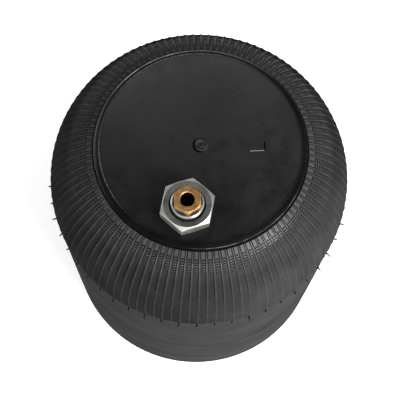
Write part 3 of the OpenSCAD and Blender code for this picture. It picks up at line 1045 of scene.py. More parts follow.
@dataclass
class AirPort:
    """Hollow stud, its nut and the brass fitting for the air tube."""

    centre: Point = (0.0, -0.051)
    plate_top: float = 0.316
    cone_share: float = 0.965
    hex_sharp: float = 24.0
    nut_flats: float = 0.036
    nut_height: float = 0.012
    nut_corner: float = 30.0
    nut_mouth: float = 0.0013
    nut_foot: float = 0.0006
    nut_slope: float = 0.52
    nut_bevel: float = 0.00018
    thread_play: float = 0.00005
    stud_radius: float = 0.012
    stud_end: float = 0.332
    stud_bore: float = 0.00805
    stud_sharp: float = 30.0
    collar: float = 0.0004
    collar_ramp: float = 0.0004
    chamfer: float = 0.0010
    bore_break: float = 0.0005
    thread_pitch: float = 0.0015
    thread_depth: float = 0.0008
    thread_turns: float = 1.5
    thread_steps: int = 48
    thread_start: float = 0.0006
    thread_sink: float = 0.0002
    thread_shares: tuple[float, float, float] = (0.94, 0.58, 0.36)
    neck_low: float = 0.0015
    neck_high: float = 0.0010
    flange_radius: float = 0.0145
    flange_low: float = 0.3065
    flange_high: float = 0.3115
    flange_chamfer: float = 0.001
    airway: float = 0.0035
    shank_low: float = 0.3162
    shank_gap: float = 0.001
    shank_break: float = 0.0008
    hex_low: float = 0.3332
    hex_high: float = 0.3382
    hex_flats: float = 0.019
    hex_corner: float = 43.0
    hex_slope: float = 0.45
    hex_bevel: float = 0.00015
    shank_radius: float = 0.00795
    bore: float = 0.0051
    bore_chamfer: float = 0.0006
    bore_land: float = 0.0022
    tube_stop: float = 0.3242
    mouth_share: float = 0.9
    mouth_skin: float = 0.0001
    bore_skin: float = 0.0002
    everywhere: float = 1.0
    steps: int = 96

    @property
    def nut_top(self) -> float:
        """Height of the nut's upper face."""
        return self.plate_top + self.nut_height

    def hexagon(self, bm: bmesh.types.BMesh, profile: Sequence[Point], flats: float, corner: float,
                low: float, high: float, slope: float, both: bool) -> None:
        """Turn a section, push its wall out to a hexagon and set it on the port's axis.

        Args:
            bm: Mesh to add to.
            profile: The section's points.
            flats: Distance across the flats.
            corner: Direction of one corner.
            low: Height of the wall's lower end.
            high: Height of the wall's upper end.
            slope: Drop of the cone that cuts the corners back.
            both: Whether the lower end is cut back as well.
        """
        turn = math.radians(corner)
        spin_full(bm, lay_chain(bm, profile, closed=True, turn=turn), self.steps)
        push_to_hex(bm, flats, turn, flats / 2, flats / 2 * self.cone_share, low, high, slope, both)
        bmesh.ops.translate(bm, verts=bm.verts, vec=(*self.centre, 0.0))

    def nut(self) -> bpy.types.Object:
        """Make the hex nut.

        Returns:
            The nut.
        """
        low, high = self.plate_top, self.nut_top
        wall, cone = self.nut_flats / 2, self.nut_flats / 2 * self.cone_share
        bore, foot, mouth = self.stud_radius + self.thread_play, self.nut_foot, self.nut_mouth
        profile = [(bore, low + foot), (bore + foot, low), (cone, low), (wall, low), (wall, high),
                   (cone, high), (bore + mouth, high), (bore, high - mouth)]
        bm = bmesh.new()
        self.hexagon(bm, profile, self.nut_flats, self.nut_corner, low, high, self.nut_slope, both=True)
        nut = make_piece("stud_nut_body", bm, self.hex_sharp)
        soften(nut, self.nut_bevel)
        return nut

    def stud(self) -> bpy.types.Object:
        """Turn the hollow stud and wind the thread that shows above the nut.

        Returns:
            The stud.
        """
        core = self.stud_radius - self.thread_depth
        flange, edge = self.flange_radius, self.flange_chamfer
        shoulder = self.stud_end - self.chamfer
        collar = shoulder - self.collar
        seat = self.shank_low - self.shank_gap
        profile = [(self.airway, self.flange_low), (flange - edge, self.flange_low),
                   (flange, self.flange_low + edge), (flange, self.flange_high),
                   (self.stud_radius, self.flange_high), (self.stud_radius, self.nut_top - self.neck_low),
                   (core, self.nut_top - self.neck_high), (core, collar - self.collar_ramp),
                   (self.stud_radius, collar), (self.stud_radius, shoulder),
                   (self.stud_radius - self.chamfer, self.stud_end),
                   (self.stud_bore + self.bore_break, self.stud_end),
                   (self.stud_bore, self.stud_end - self.bore_break),
                   (self.stud_bore, seat), (self.airway, seat)]
        bm = bmesh.new()
        spin_full(bm, lay_chain(bm, profile, closed=True), self.steps)
        self.wind_thread(bm, core - self.thread_sink)
        bmesh.ops.translate(bm, verts=bm.verts, vec=(*self.centre, 0.0))
        return make_piece("stud_body", bm, self.stud_sharp)

    def wind_thread(self, bm: bmesh.types.BMesh, root: float) -> None:
        """Wind a thread's tooth round the stud and close its ends.

        Args:
            bm: The stud's mesh.
            root: Radius of the tooth's foot.
        """
        start, pitch = self.nut_top - self.thread_start, self.thread_pitch
        foot, upper, lower = (start + pitch * share for share in self.thread_shares)
        tooth = [(root, start), (root, foot), (self.stud_radius, upper), (self.stud_radius, lower)]
        chain = lay_chain(bm, tooth, closed=True)
        first = [item for item in chain if isinstance(item, bmesh.types.BMEdge)]
        steps = int(self.thread_steps * self.thread_turns)
        rise = pitch * self.thread_turns / steps
        wound = bmesh.ops.spin(bm, geom=chain, cent=ORIGIN, axis=UP, dvec=(0, 0, rise),
                               angle=TAU * self.thread_turns, steps=steps)
        last = [item for item in wound["geom_last"] if isinstance(item, bmesh.types.BMEdge)]
        for ends in (first, last):
            bmesh.ops.contextual_create(bm, geom=ends)

    def fitting(self) -> bpy.types.Object:
        """Make the hex fitting with its shank and its bore for the tube.

        Returns:
            The fitting.
        """
        wall, cone = self.hex_flats / 2, self.hex_flats / 2 * self.cone_share
        top, low = self.hex_high, self.hex_low
        shank, edge = self.shank_radius, self.shank_break
        profile = [(self.bore, self.tube_stop), (self.bore, top - self.bore_chamfer),
                   (self.bore + self.bore_chamfer, top), (self.bore + self.bore_land, top), (cone, top),
                   (wall, top), (wall, low), (shank, low), (shank, self.shank_low + edge),
                   (shank - edge, self.shank_low), (self.airway, self.shank_low),
                   (self.airway, self.tube_stop)]
        bm = bmesh.new()
        self.hexagon(bm, profile, self.hex_flats, self.hex_corner, low, top, self.hex_slope, both=False)
        fitting = make_piece("air_fitting_body", bm, self.hex_sharp)
        soften(fitting, self.hex_bevel)
        return fitting

    def dress(self, piece: bpy.types.Object, outside: bpy.types.Material, inside: bpy.types.Material,
              reach: float, low: float, high: float) -> None:
        """Dress a piece of the port, with its own finish within a radius and between two heights.

        Args:
            piece: The piece.
            outside: Its main finish.
            inside: Finish of the faces in the shade.
            reach: Faces closer than this to the port's axis are inside.
            low: Lowest height of the inside faces.
            high: Highest height of the inside faces.
        """
        piece.data.materials.append(outside)
        piece.data.materials.append(inside)
        for face in piece.data.polygons:
            middle = face.center
            near = math.hypot(middle.x - self.centre[0], middle.y - self.centre[1]) < reach
            face.material_index = int(near and low < middle.z < high)


# Bellows


@dataclass
class BellowsForm:
    """Section of the rubber sleeve, shared by its shoulder, wall and lower sleeve."""

    plate_top: float = 0.316
    plate_radius: float = 0.080
    rim_show: float = 0.004
    gap: float = 0.0003
    wall: float = 0.006
    largest: float = 0.119
    shoulder: float = 0.070
    mould_drop: float = 0.0103
    low_radius: float = 0.116
    piston_radius: float = 0.074
    lobe_rise: float = 0.037
    sheet: float = 0.003
    curl_x: float = 0.0735
    curl_z: float = 0.306
    curl: float = 0.0065
    root_turn: float = -19.0
    neck_turn: float = -125.0
    grip_turn: float = -114.0
    piston_top: float = 0.150
    piston_round: float = 0.014
    bead_in: float = 0.0463
    bead_width: float = 0.012
    bead_height: float = 0.017
    bead_cut: float = 0.002

    @property
    def shoulder_x(self) -> float:
        """Distance of the shoulder arc's centre from the axis."""
        return self.largest - self.shoulder

    @property
    def shoulder_start(self) -> float:
        """Angle at which the shoulder leaves the plate's rim."""
        return math.degrees(math.acos((self.plate_radius + self.gap - self.shoulder_x) / self.shoulder))

    @property
    def shoulder_z(self) -> float:
        """Height of the shoulder arc's centre, where the diameter is largest."""
        return self.plate_top - self.rim_show - self.shoulder * math.sin(math.radians(self.shoulder_start))

    @property
    def mould_z(self) -> float:
        """Height of the mould line."""
        return self.shoulder_z - self.mould_drop

    @property
    def air_radius(self) -> float:
        """Radius of the shoulder's arc on the air side."""
        return self.shoulder - self.wall

    @property
    def mould_in(self) -> float:
        """Distance of the wall's air side from the axis at the mould line."""
        return self.shoulder_x + math.sqrt(self.air_radius ** 2 - self.mould_drop ** 2)

    @property
    def lobe_x(self) -> float:
        """Distance of the lobe's centre from the axis."""
        return (self.low_radius + self.piston_radius + self.gap) / 2

    @property
    def lobe(self) -> float:
        """Outside radius of the rolled lobe."""
        return (self.low_radius - self.piston_radius - self.gap) / 2

    @property
    def lobe_z(self) -> float:
        """Height of the lobe's centre."""
        return self.lobe_rise + self.lobe


@dataclass
class BellowsShoulder:
    """Ribbed shoulder: raised blocks at the rim, ridges, and ladder bars between them.

    One ridge's pitch is cut into columns, as shares of the pitch: the ridge stands
    between the third and fourth, its flank between the fifth and sixth, and the
    band with the block and the bars between the seventh and eighth.
    """

    form: BellowsForm
    ridges: int = 108
    columns: tuple[float, ...] = (0.0, 0.06, 0.10, 0.20, 0.31, 0.37, 0.42, 0.91)
    slack: float = 0.005
    gap_edge: float = 0.03
    ridge_rise: float = 0.0009
    ridge_fade: float = 0.68
    fade_start: float = 0.027
    fade_end: float = 0.053
    ridge_rim: float = 0.2
    ridge_tip: float = 0.6
    tip_length: float = 0.0010
    block_rise: float = 0.0008
    block_end: float = 0.0056
    band_rise: float = 0.0001
    bars: int = 8
    bar_rise: float = 0.0008
    bar_start: float = 0.0066
    bar_pitch: float = 0.0020
    bar_length: float = 0.00125
    bar_ramp: float = 0.00025
    bar_full: float = 1.25
    bar_loss: float = 1.15
    bar_wear: float = 0.3
    gap_shade_mark: float = -0.4
    end_fillet: float = 0.0030
    end_rise: float = 0.00035
    end_lip: float = 0.0004
    end_rows: tuple[float, ...] = (0.0012, 0.0006, 0.0)
    tail_stop: float = 0.0022
    tail_rows: int = 10
    weld: float = 8e-6
    sharp: float = 58.0

    @property
    def base(self) -> float:
        """Radius of the arc between the ridges."""
        return self.form.shoulder - self.ridge_rise

    @property
    def start(self) -> float:
        """Angle, in radians, at which the arc between the ridges leaves the plate's rim."""
        f = self.form
        return math.acos((f.plate_radius + f.gap - f.shoulder_x) / self.base)

    @property
    def stop(self) -> float:
        """Angle, in radians, at which the arc between the ridges meets the mould line."""
        return -math.asin(self.form.mould_drop / self.base)

    @property
    def length(self) -> float:
        """Length of the shoulder along its arc."""
        return (self.start - self.stop) * self.base

    @property
    def foot_x(self) -> float:
        """Distance of the shoulder's lower edge from the axis."""
        return self.form.shoulder_x + (self.base + self.end_rise) * math.cos(self.stop)

    def rows(self) -> list[float]:
        """Lay the rows of the surface.

        Returns:
            Their distances from the rim along the arc.
        """
        rows = [0.0, self.bar_ramp, self.block_end - self.bar_ramp, self.block_end]
        for i in range(self.bars):
            start = self.bar_start + i * self.bar_pitch
            stop = start + self.bar_length
            rows += [start, start + self.bar_ramp, stop - self.bar_ramp, stop]
        tail = self.bar_start + self.bars * self.bar_pitch
        steps = self.tail_rows - 1
        rows += [tail + (self.length - self.tail_stop - tail) * i / steps for i in range(self.tail_rows)]
        return rows + [self.length - row for row in self.end_rows]

    def between(self, share: float, first: int) -> bool:
        """Tell whether a place across the pitch lies between a column and the next."""
        return self.columns[first] - self.slack < share < self.columns[first + 1] + self.slack

    def rise(self, share: float, along: float) -> float:
        """Height of the surface over the shoulder's base.

        Args:
            share: Place across one ridge's pitch, from 0 to 1.
            along: Distance from the rim along the arc.

        Returns:
            The height.
        """
        left = self.length - along
        foot = self.end_rise * max(0.0, 1.0 - left / self.end_fillet) ** 2
        if left < self.end_lip:
            return self.end_rise
        down = min(1.0, max(0.0, (along - self.fade_start) / (self.fade_end - self.fade_start)))
        height = self.ridge_rise * (1.0 - self.ridge_fade * down * down * (3.0 - 2.0 * down))
        if self.between(share, 2):
            if along < self.bar_ramp / 2:
                return self.ridge_rim * self.ridge_rise
            return height if left > self.tip_length else self.ridge_tip * height
        if self.between(share, 4):
            slope = (self.columns[6] - share) / (self.columns[6] - self.columns[3])
            return max(foot, height * (1.0 - self.bar_fade(along)) * slope)
        return self.band(share, along, foot) if self.between(share, 6) else foot

    def band(self, share: float, along: float, foot: float) -> float:
        """Height of the band between two ridges, with its block and bars.

        Args:
            share: Place across one ridge's pitch, from 0 to 1.
            along: Distance from the rim along the arc.
            foot: Height of the fillet at the mould line.

        Returns:
            The height.
        """
        ramp = self.bar_ramp / 2
        if along < self.block_end + FINE_TOUCH:
            return self.block_rise if ramp < along < self.block_end - ramp else 0.0
        index = int((along - self.bar_start) / self.bar_pitch + 10 * TOUCH)
        inside = along - self.bar_start - index * self.bar_pitch
        if index < self.bars and along > self.bar_start:
            return self.bar_rise * self.bar_fade(along) if ramp < inside < self.bar_length - ramp else 0.0
        return max(foot, self.band_rise if share < 0.5 else 0.0)

    def bar_fade(self, along: float) -> float:
        """Share of their height that the bars keep at a distance from the rim."""
        ladder = (along - self.bar_start) / (self.bars * self.bar_pitch)
        return min(1.0, max(0.0, self.bar_full - self.bar_loss * ladder))

    def wear_and_shade(self, share: float, along: float, rise: float) -> float:
        """Mark of the surface for the rubber's colour: one on a crest, which gets scuffs and a painted
        highlight, below nothing in the gaps, which get painted shade.

        Args:
            share: Place across one ridge's pitch, from 0 to 1.
            along: Distance from the rim along the arc.
            rise: Height of the surface there.

        Returns:
            The wear.
        """
        if self.between(share, 2):
            return 1.0
        if rise > self.bar_wear * self.bar_rise:
            return rise / self.ridge_rise
        in_gap = share > self.columns[4] - self.slack or share < self.gap_edge
        # Gaps get a mark that the rubber's material turns into painted shade.
        return self.gap_shade_mark * self.bar_fade(along) if in_gap else 0.0

    def profile(self) -> list[Point]:
        """Lay the shoulder's section: ribbed face first, then the air side and the bead.

        Returns:
            The section's points.
        """
        f = self.form
        face = [(f.shoulder_x + self.base * math.cos(a), f.shoulder_z + self.base * math.sin(a))
                for a in (self.start - row / self.base for row in self.rows())]
        root = f.curl + f.gap + f.wall
        root_z = f.curl_z + root * math.sin(math.radians(f.root_turn))
        air_high = math.degrees(math.asin((root_z - f.shoulder_z) / f.air_radius))
        air_low = -math.degrees(math.asin(f.mould_drop / f.air_radius))
        neck_x = f.curl_x + root * math.cos(math.radians(f.neck_turn))
        bead_top = f.plate_top - f.sheet - f.gap
        edge = f.plate_radius - f.sheet - f.gap
        return (face
                + arc(f.shoulder_x, f.shoulder_z, f.air_radius, air_low, air_high, steps=8)
                + arc(f.curl_x, f.curl_z, root, f.root_turn, f.neck_turn, steps=5)
                + [(neck_x, bead_top - f.bead_cut), (neck_x + f.bead_cut, bead_top),
                   (edge - f.bead_cut, bead_top), (edge, bead_top - f.bead_cut)]
                + arc(f.curl_x, f.curl_z, f.curl - f.sheet - f.gap, 0.0, f.grip_turn, steps=4)
                + arc(f.curl_x, f.curl_z, f.curl + f.gap, f.grip_turn, 0.0, steps=5))

    def build(self) -> bpy.types.Object:
        """Turn one ridge's pitch, raise its ridge, bars and block, and repeat it round.

        Returns:
            The shoulder.
        """
        f = self.form
        pitch = TAU / self.ridges
        bm = bmesh.new()
        crest = bm.verts.layers.float.new("crest")
        last = lay_chain(bm, self.profile(), closed=True)
        for a, b in zip(self.columns, self.columns[1:] + (1.0,)):
            last = bmesh.ops.spin(bm, geom=last, cent=ORIGIN, axis=UP, dvec=ORIGIN,
                                  angle=(b - a) * pitch, steps=1)["geom_last"]
        for vert in bm.verts:
            reach = math.hypot(vert.co.x, vert.co.y)
            dx, dz = reach - f.shoulder_x, vert.co.z - f.shoulder_z
            if abs(math.hypot(dx, dz) - self.base) > FINE_TOUCH or dz < -f.mould_drop - FINE_TOUCH:
                continue
            slant = math.atan2(dz, dx)
            along = (self.start - slant) * self.base
            turn = math.atan2(vert.co.y, vert.co.x)
            rise = self.rise(turn / pitch, along)
            vert[crest] = self.wear_and_shade(turn / pitch % 1.0, along, rise)
            out = reach + rise * math.cos(slant)
            vert.co = (out * math.cos(turn), out * math.sin(turn), vert.co.z + rise * math.sin(slant))
        copies = self.ridges - 1
        bmesh.ops.spin(bm, geom=bm.verts[:] + bm.edges[:] + bm.faces[:], cent=ORIGIN, axis=UP,
                       dvec=ORIGIN, angle=copies * pitch, steps=copies, use_duplicate=True)
        bmesh.ops.remove_doubles(bm, verts=bm.verts, dist=self.weld)
        return make_piece("bellows_shoulder", bm, self.sharp)


@dataclass
class BellowsWall:
    """Smooth wall from the mould line down to the bottom of the rolled lobe.

    The flash and the wrap lines are given by their sections: shares of the rise
    against drops below the mould line, and places in half widths against shares
    of the rise.
    """

    form: BellowsForm
    start: float
    flash: float = 0.0003
    flash_section: tuple[Point, ...] = (
        (0.0, 0.0), (0.7, 0.0003), (1.0, 0.0006), (0.7, 0.0009), (0.0, 0.0013))
    wraps: tuple[float, ...] = (0.186, 0.172, 0.148, 0.132, 0.104)
    wrap_rise: float = 0.00016
    wrap_half: float = 0.0016
    wrap_clear: float = 2.2
    wrap_section: tuple[Point, ...] = ((1.6, 0.0), (1.0, 0.8), (0.3, 1.0), (-0.6, 0.9), (-0.9, 0.0))
    rows: int = 24
    row_start: float = 0.0016
    row_margin: float = 0.004
    steps: int = 180
    sharp: float = 38.0

    def outside(self, z: float) -> float:
        """Radius of the plain wall at a height."""
        share = (self.form.mould_z - z) / (self.form.mould_z - self.form.lobe_z)
        return self.start + (self.form.low_radius - self.start) * share

    def profile(self) -> list[Point]:
        """Lay the wall's section with its mould flash and wrap lines.

        Returns:
            The section's points.
        """
        f = self.form
        top, low = f.mould_z, f.lobe_z
        span = top - self.row_margin - low
        face = [(self.start + self.flash * share, top - drop) for share, drop in self.flash_section]
        marks = [(top - self.row_start - span * i / self.rows, 0.0) for i in range(self.rows)]
        for z in self.wraps:
            marks = [mark for mark in marks if abs(mark[0] - z) > self.wrap_clear * self.wrap_half]
            marks += [(z + self.wrap_half * place, self.wrap_rise * share)
                      for place, share in self.wrap_section]
        face += [(self.outside(z) + rise, z) for z, rise in sorted(marks, reverse=True)]
        return (face
                + arc(f.lobe_x, low, f.lobe, 0.0, -90.0, steps=14)
                + arc(f.lobe_x, low, f.lobe - f.wall, -90.0, 0.0, steps=10)
                + [(f.mould_in, top)])

    def build(self) -> bpy.types.Object:
        """Turn the wall."""
        return turned("bellows_wall", self.profile(), self.steps, self.sharp)


@dataclass
class BellowsSleeve:
    """Inner half of the lobe and the sleeve on the piston, up to the lower bead."""

    form: BellowsForm
    rows: int = 8
    bead_turn: float = 88.0
    steps: int = 128
    sharp: float = 50.0

    def profile(self) -> list[Point]:
        """Lay the sleeve's section.

        Returns:
            The section's points.
        """
        f = self.form
        edge_x, edge_z = f.piston_radius - f.piston_round, f.piston_top - f.piston_round
        seat = f.piston_top + f.gap
        top = seat + f.bead_height
        inner, outer, cut = f.bead_in, f.bead_in + f.bead_width, f.bead_cut
        over = f.piston_round + f.gap
        heights = [f.lobe_z + (edge_z - f.lobe_z) * i / self.rows for i in range(1, self.rows)]
        climb = [(f.lobe_x - f.lobe, z) for z in heights]
        down = [(f.lobe_x - f.lobe + f.wall, z) for z in reversed(heights)]
        return (arc(f.lobe_x, f.lobe_z, f.lobe, -90.0, -180.0, steps=12) + climb
                + arc(edge_x, edge_z, over, 0.0, 90.0, steps=8)
                + [(inner + cut, seat), (inner, seat + cut), (inner, top - cut), (inner + cut, top),
                   (outer - cut, top), (outer, top - cut), (outer, seat + f.wall)]
                + arc(edge_x, edge_z, over + f.wall, self.bead_turn, 0.0, steps=8) + down
                + arc(f.lobe_x, f.lobe_z, f.lobe - f.wall, -180.0, -90.0, steps=10))

    def build(self) -> bpy.types.Object:
        """Turn the sleeve."""
        return turned("bellows_sleeve", self.profile(), self.steps, self.sharp)


@dataclass
class Whiskers:
    """Short rubber whiskers left by the mould's vents, along the mould line."""

    form: BellowsForm
    start: float
    ridges: int = 108
    every: int = 2
    share: float = 0.09
    length: float = 0.0032
    lengths: Point = (0.70, 1.45)
    droops: Point = (-0.05, 0.60)
    sways: Point = (-0.35, 0.35)
    thick: float = 0.00078
    sides: int = 6
    parts: int = 3
    taper: float = 0.85
    root_sink: float = 0.0002
    root_drop: float = 0.0007
    seed: int = 7
    sharp: float = 60.0

    def build(self) -> bpy.types.Object:
        """Draw each whisker out as a thin tapered stalk that droops.

        Returns:
            All the whiskers as one piece.
        """
        dice = random.Random(self.seed)
        bm = bmesh.new()
        root = Vector((self.start - self.root_sink, 0.0, self.form.mould_z - self.root_drop))
        stand = Matrix.Translation(root) @ Matrix.Rotation(math.pi / 2, 4, "Y")
        for i in range(0, self.ridges, self.every):
            part = self.length * dice.uniform(*self.lengths) / self.parts
            droop = dice.uniform(*self.droops)
            sway = dice.uniform(*self.sways)
            ring = bmesh.ops.create_circle(bm, cap_ends=True, segments=self.sides, radius=self.thick,
                                           matrix=stand)
            face = ring["verts"][0].link_faces[0]
            verts = list(ring["verts"])
            for index in range(self.parts):
                face = bmesh.ops.extrude_discrete_faces(bm, faces=[face])["faces"][0]
                tip = list(face.verts)
                bend = (index + 1) / self.parts
                bmesh.ops.translate(bm, verts=tip, vec=(part, sway * part * bend, -droop * part * bend))
                middle = sum((v.co for v in tip), Vector()) / len(tip)
                bmesh.ops.scale(bm, verts=tip, vec=(self.taper,) * 3, space=Matrix.Translation(-middle))
                verts += tip
            turn = Matrix.Rotation(TAU * (i + self.share) / self.ridges, 3, "Z")
            bmesh.ops.rotate(bm, verts=list(set(verts)), cent=ORIGIN, matrix=turn)
        return make_piece("mould_whiskers", bm, self.sharp)


# Studio


@dataclass(frozen=True)
class SoftLight:
    """One soft rectangular light."""

    name: str
    place: Way
    aim: Way
    size: Point
    watts: float
    tint: Colour = WHITE

    def hang(self) -> None:
        """Hang the light."""
        data = bpy.data.lights.new(self.name, "AREA")
        data.shape = "RECTANGLE"
        data.size, data.size_y = self.size
        data.energy = self.watts
        data.color = self.tint
        lamp = bpy.data.objects.new(self.name, data)
        lamp.location = self.place
        lamp.rotation_euler = (Vector(self.aim) - Vector(self.place)).to_track_quat("-Z", "Y").to_euler()
        bpy.context.scene.collection.objects.link(lamp)


@dataclass(frozen=True)
class Sky:
    """White sky: bright round the sides, brightest in front, and dark overhead.

    The camera sees it as plain white. Its light on the part is the product of the
    overhead and the front masks, and never less than the horizon's.
    """

    overhead: Side = Side((0.0, 0.174, 0.985), Band(0.925, 0.985, 1.25, 0.03))
    front: Side = Side((0.50, -0.86, 0.0), Band(-0.5, 0.5, 0.15, 1.10))
    horizon: Side = Side((0.0, 0.0, 1.0), Band(0.20, 0.42, 0.80, 0.0))

    @staticmethod
    def mask(tree: bpy.types.NodeTree, way: Socket, side: Side) -> Socket:
        """Mask the sky along a direction.

        Args:
            tree: The world's nodes.
            way: Direction of a point in the sky.
            side: The mask.

        Returns:
            The mask's value.
        """
        across = tree.nodes.new("ShaderNodeVectorMath")
        across.operation = "DOT_PRODUCT"
        across.inputs[1].default_value = side.way
        tree.links.new(way, across.inputs[0])
        fade = tree.nodes.new("ShaderNodeMapRange")
        fade.interpolation_type = "SMOOTHSTEP"
        limits = (side.band.low, side.band.high, side.band.at_low, side.band.at_high)
        for socket, number in zip(fade.inputs[1:5], limits):
            socket.default_value = number
        tree.links.new(across.outputs["Value"], fade.inputs[0])
        return fade.outputs[0]

    @staticmethod
    def join(tree: bpy.types.NodeTree, how: str, a: Socket, b: Socket) -> Socket:
        """Join two values of the sky.

        Args:
            tree: The world's nodes.
            how: Operation of the math node.
            a: First value.
            b: Second value.

        Returns:
            The result.
        """
        node = tree.nodes.new("ShaderNodeMath")
        node.operation = how
        tree.links.new(a, node.inputs[0])
        tree.links.new(b, node.inputs[1])
        return node.outputs[0]

    def spread(self) -> None:
        """Set the scene's sky."""
        world = bpy.data.worlds.new("sky")
        world.use_nodes = True
        tree = world.node_tree
        way = tree.nodes.new("ShaderNodeTexCoord").outputs["Generated"]
        overhead, front, horizon = (self.mask(tree, way, side)
                                    for side in (self.overhead, self.front, self.horizon))
        light = self.join(tree, "MAXIMUM", self.join(tree, "MULTIPLY", overhead, front), horizon)
        seen = tree.nodes.new("ShaderNodeLightPath").outputs["Is Camera Ray"]
        background = tree.nodes["Background"]
        background.inputs["Color"].default_value = (*WHITE, 1.0)
        tree.links.new(self.join(tree, "MAXIMUM", light, seen), background.inputs["Strength"])
        bpy.context.scene.world = world


@dataclass
class Studio:
    """Pale floor, soft lights and the camera at the photograph's view."""

    azimuth: float = 8.3
    elevation: float = 67.85
    distance: float = 0.7335
    target: Way = (0.0, 0.0, 0.312)
    focal_px: float = 987.4
    frame_px: float = 400.0
    centre_px: Point = (200.7, 147.0)
    roll: float = 2.94
    sensor_mm: float = 36.0
    clip_start: float = 0.01
    floor_size: float = 40.0
    floor_tone: Colour = (0.97, 0.97, 0.97)
    floor_shade: float = 0.99
    floor_cloud: Mottle = Mottle(3.0)
    floor_rough: float = 0.9
    floor_shine: float = 0.1
    floor_glow: float = 0.35
    sky: Sky = Sky()
    lights: tuple[SoftLight, ...] = (
        SoftLight("right", (1.05, -0.70, 1.08), (0.05, -0.04, 0.29), (0.80, 0.50), 36.0),
        SoftLight("back", (-0.42, 0.72, 1.55), (0.0, 0.0, 0.31), (0.9, 0.4), 2.4),
        SoftLight("left", (-1.2, 0.3, 0.5), (0.0, 0.0, 0.16), (0.6, 0.9), 2.4, (0.92, 0.95, 1.0)),
    )

    def camera(self) -> None:
        """Stand the camera where the photograph was taken from."""
        a, e = math.radians(self.azimuth), math.radians(self.elevation)
        back = Vector((math.sin(a) * math.cos(e), -math.cos(a) * math.cos(e), math.sin(e)))
        right = Vector((math.cos(a), math.sin(a), 0.0))
        up = back.cross(right)
        place = Vector(self.target) + back * self.distance
        tilt = math.radians(self.roll)
        right_r = right * math.cos(tilt) + up * math.sin(tilt)
        up_r = up * math.cos(tilt) - right * math.sin(tilt)
        off_x, off_y = (self.frame_px / 2 - centre for centre in self.centre_px)
        aim = -back * self.focal_px + right_r * off_x - up_r * off_y
        look = -aim.normalized()
        side = up_r.cross(look).normalized()
        head = look.cross(side)
        data = bpy.data.cameras.new("view")
        data.sensor_width = self.sensor_mm
        data.lens = self.focal_px / self.frame_px * self.sensor_mm
        data.clip_start = self.clip_start
        camera = bpy.data.objects.new("view", data)
        camera.matrix_world = Matrix((
            (side.x, head.x, look.x, place.x), (side.y, head.y, look.y, place.y),
            (side.z, head.z, look.z, place.z), (0.0, 0.0, 0.0, 1.0)))
        bpy.context.scene.collection.objects.link(camera)
        bpy.context.scene.camera = camera

    def floor(self) -> None:
        """Lay the floor."""
        bm = bmesh.new()
        bmesh.ops.create_grid(bm, x_segments=1, y_segments=1, size=self.floor_size / 2)
        floor = make_piece("floor", bm)
        g = Graph("floor_paper")
        shade = darker(self.floor_tone, self.floor_shade)
        g.set(Base_Color=g.mix(g.noise(self.floor_cloud), self.floor_tone, shade), Roughness=self.floor_rough,
              Specular_IOR_Level=self.floor_shine, Emission_Color=WHITE, Emission_Strength=self.floor_glow)
        floor.data.materials.append(g.material)

    def build(self) -> None:
        """Set up the whole studio."""
        self.camera()
        self.floor()
        for light in self.lights:
            light.hang()
        self.sky.spread()
        bpy.context.scene.view_settings.view_transform = "Standard"


# Assembly


@dataclass
class Finishes:
    """Every material of the part, made once."""

    stud_axis: Point = (0.0, -0.051)

    def __post_init__(self) -> None:
        """Make the materials."""
        axis = self.stud_axis
        self.shoulder = RubberFinish("shoulder_rubber", crest=True).material()
        self.wall = WallFinish("wall_rubber").material()
        self.sleeve = RubberFinish("sleeve_rubber").material()
        self.whisker = RubberFinish("whisker_rubber", (0.004, 0.004, 0.004), (0.008, 0.008, 0.008),
                                    (0.012, 0.012, 0.012), shine=0.04).material()
        self.bumper = RubberFinish("bumper_rubber", (0.020, 0.019, 0.017), (0.040, 0.038, 0.034)).material()
        self.seal = RubberFinish("seal_rubber", (0.010, 0.010, 0.011), (0.020, 0.020, 0.021)).material()
        self.paint = PaintFinish("plate_paint").material()
        self.tick_highlight = ScribeFinish("tick_painted_highlight").material()
        self.tick_shadow = ScribeFinish("tick_painted_shadow", (0.0020, 0.0020, 0.0020), 0.0).material()
        # side_dull gives the nut's upright faces and its top painted shade.
        self.zinc = MetalFinish("zinc_plate", (0.60, 0.61, 0.57), (0.46, 0.47, 0.42), 0.31, axis,
                                ring_relief=Relief(0.000001, 0.8), pore_relief=Relief(0.0000015, 0.7),
                                side_dull=0.23).material()
        self.stud = MetalFinish("stud_steel", (0.40, 0.40, 0.39), (0.30, 0.30, 0.29), 0.28, axis).material()
        # Painted shade for the nut's mouth and the stud below its end chamfer.
        self.thread = MetalFinish("thread_shade", (0.060, 0.060, 0.056), (0.025, 0.025, 0.023), 0.50,
                                  axis).material()
        self.brass = MetalFinish("turned_brass", (0.53, 0.312, 0.116), (0.42, 0.238, 0.082), 0.36, axis,
                                 Mottle(260.0, 4.0, 0.65, Band(0.30, 0.70)), ring_pitch=0.0008,
                                 ring_relief=Relief(0.000012, 0.8)).material()
        # Painted shade for the inside of the fitting's bore.
        self.bore = MetalFinish("bore_shade", (0.030, 0.022, 0.016), (0.012, 0.009, 0.007), 0.55,
                                axis).material()
        self.steel = MetalFinish("pressed_steel", (0.56, 0.56, 0.54), (0.40, 0.40, 0.38), 0.36).material()
        self.wire = MetalFinish("bead_wire", (0.46, 0.40, 0.30), (0.34, 0.30, 0.22), 0.40).material()
        self.insert = MetalFinish("insert_brass", (0.64, 0.46, 0.20), (0.48, 0.33, 0.13), 0.34).material()
        self.plastic = MouldedFinish("piston_plastic").material()


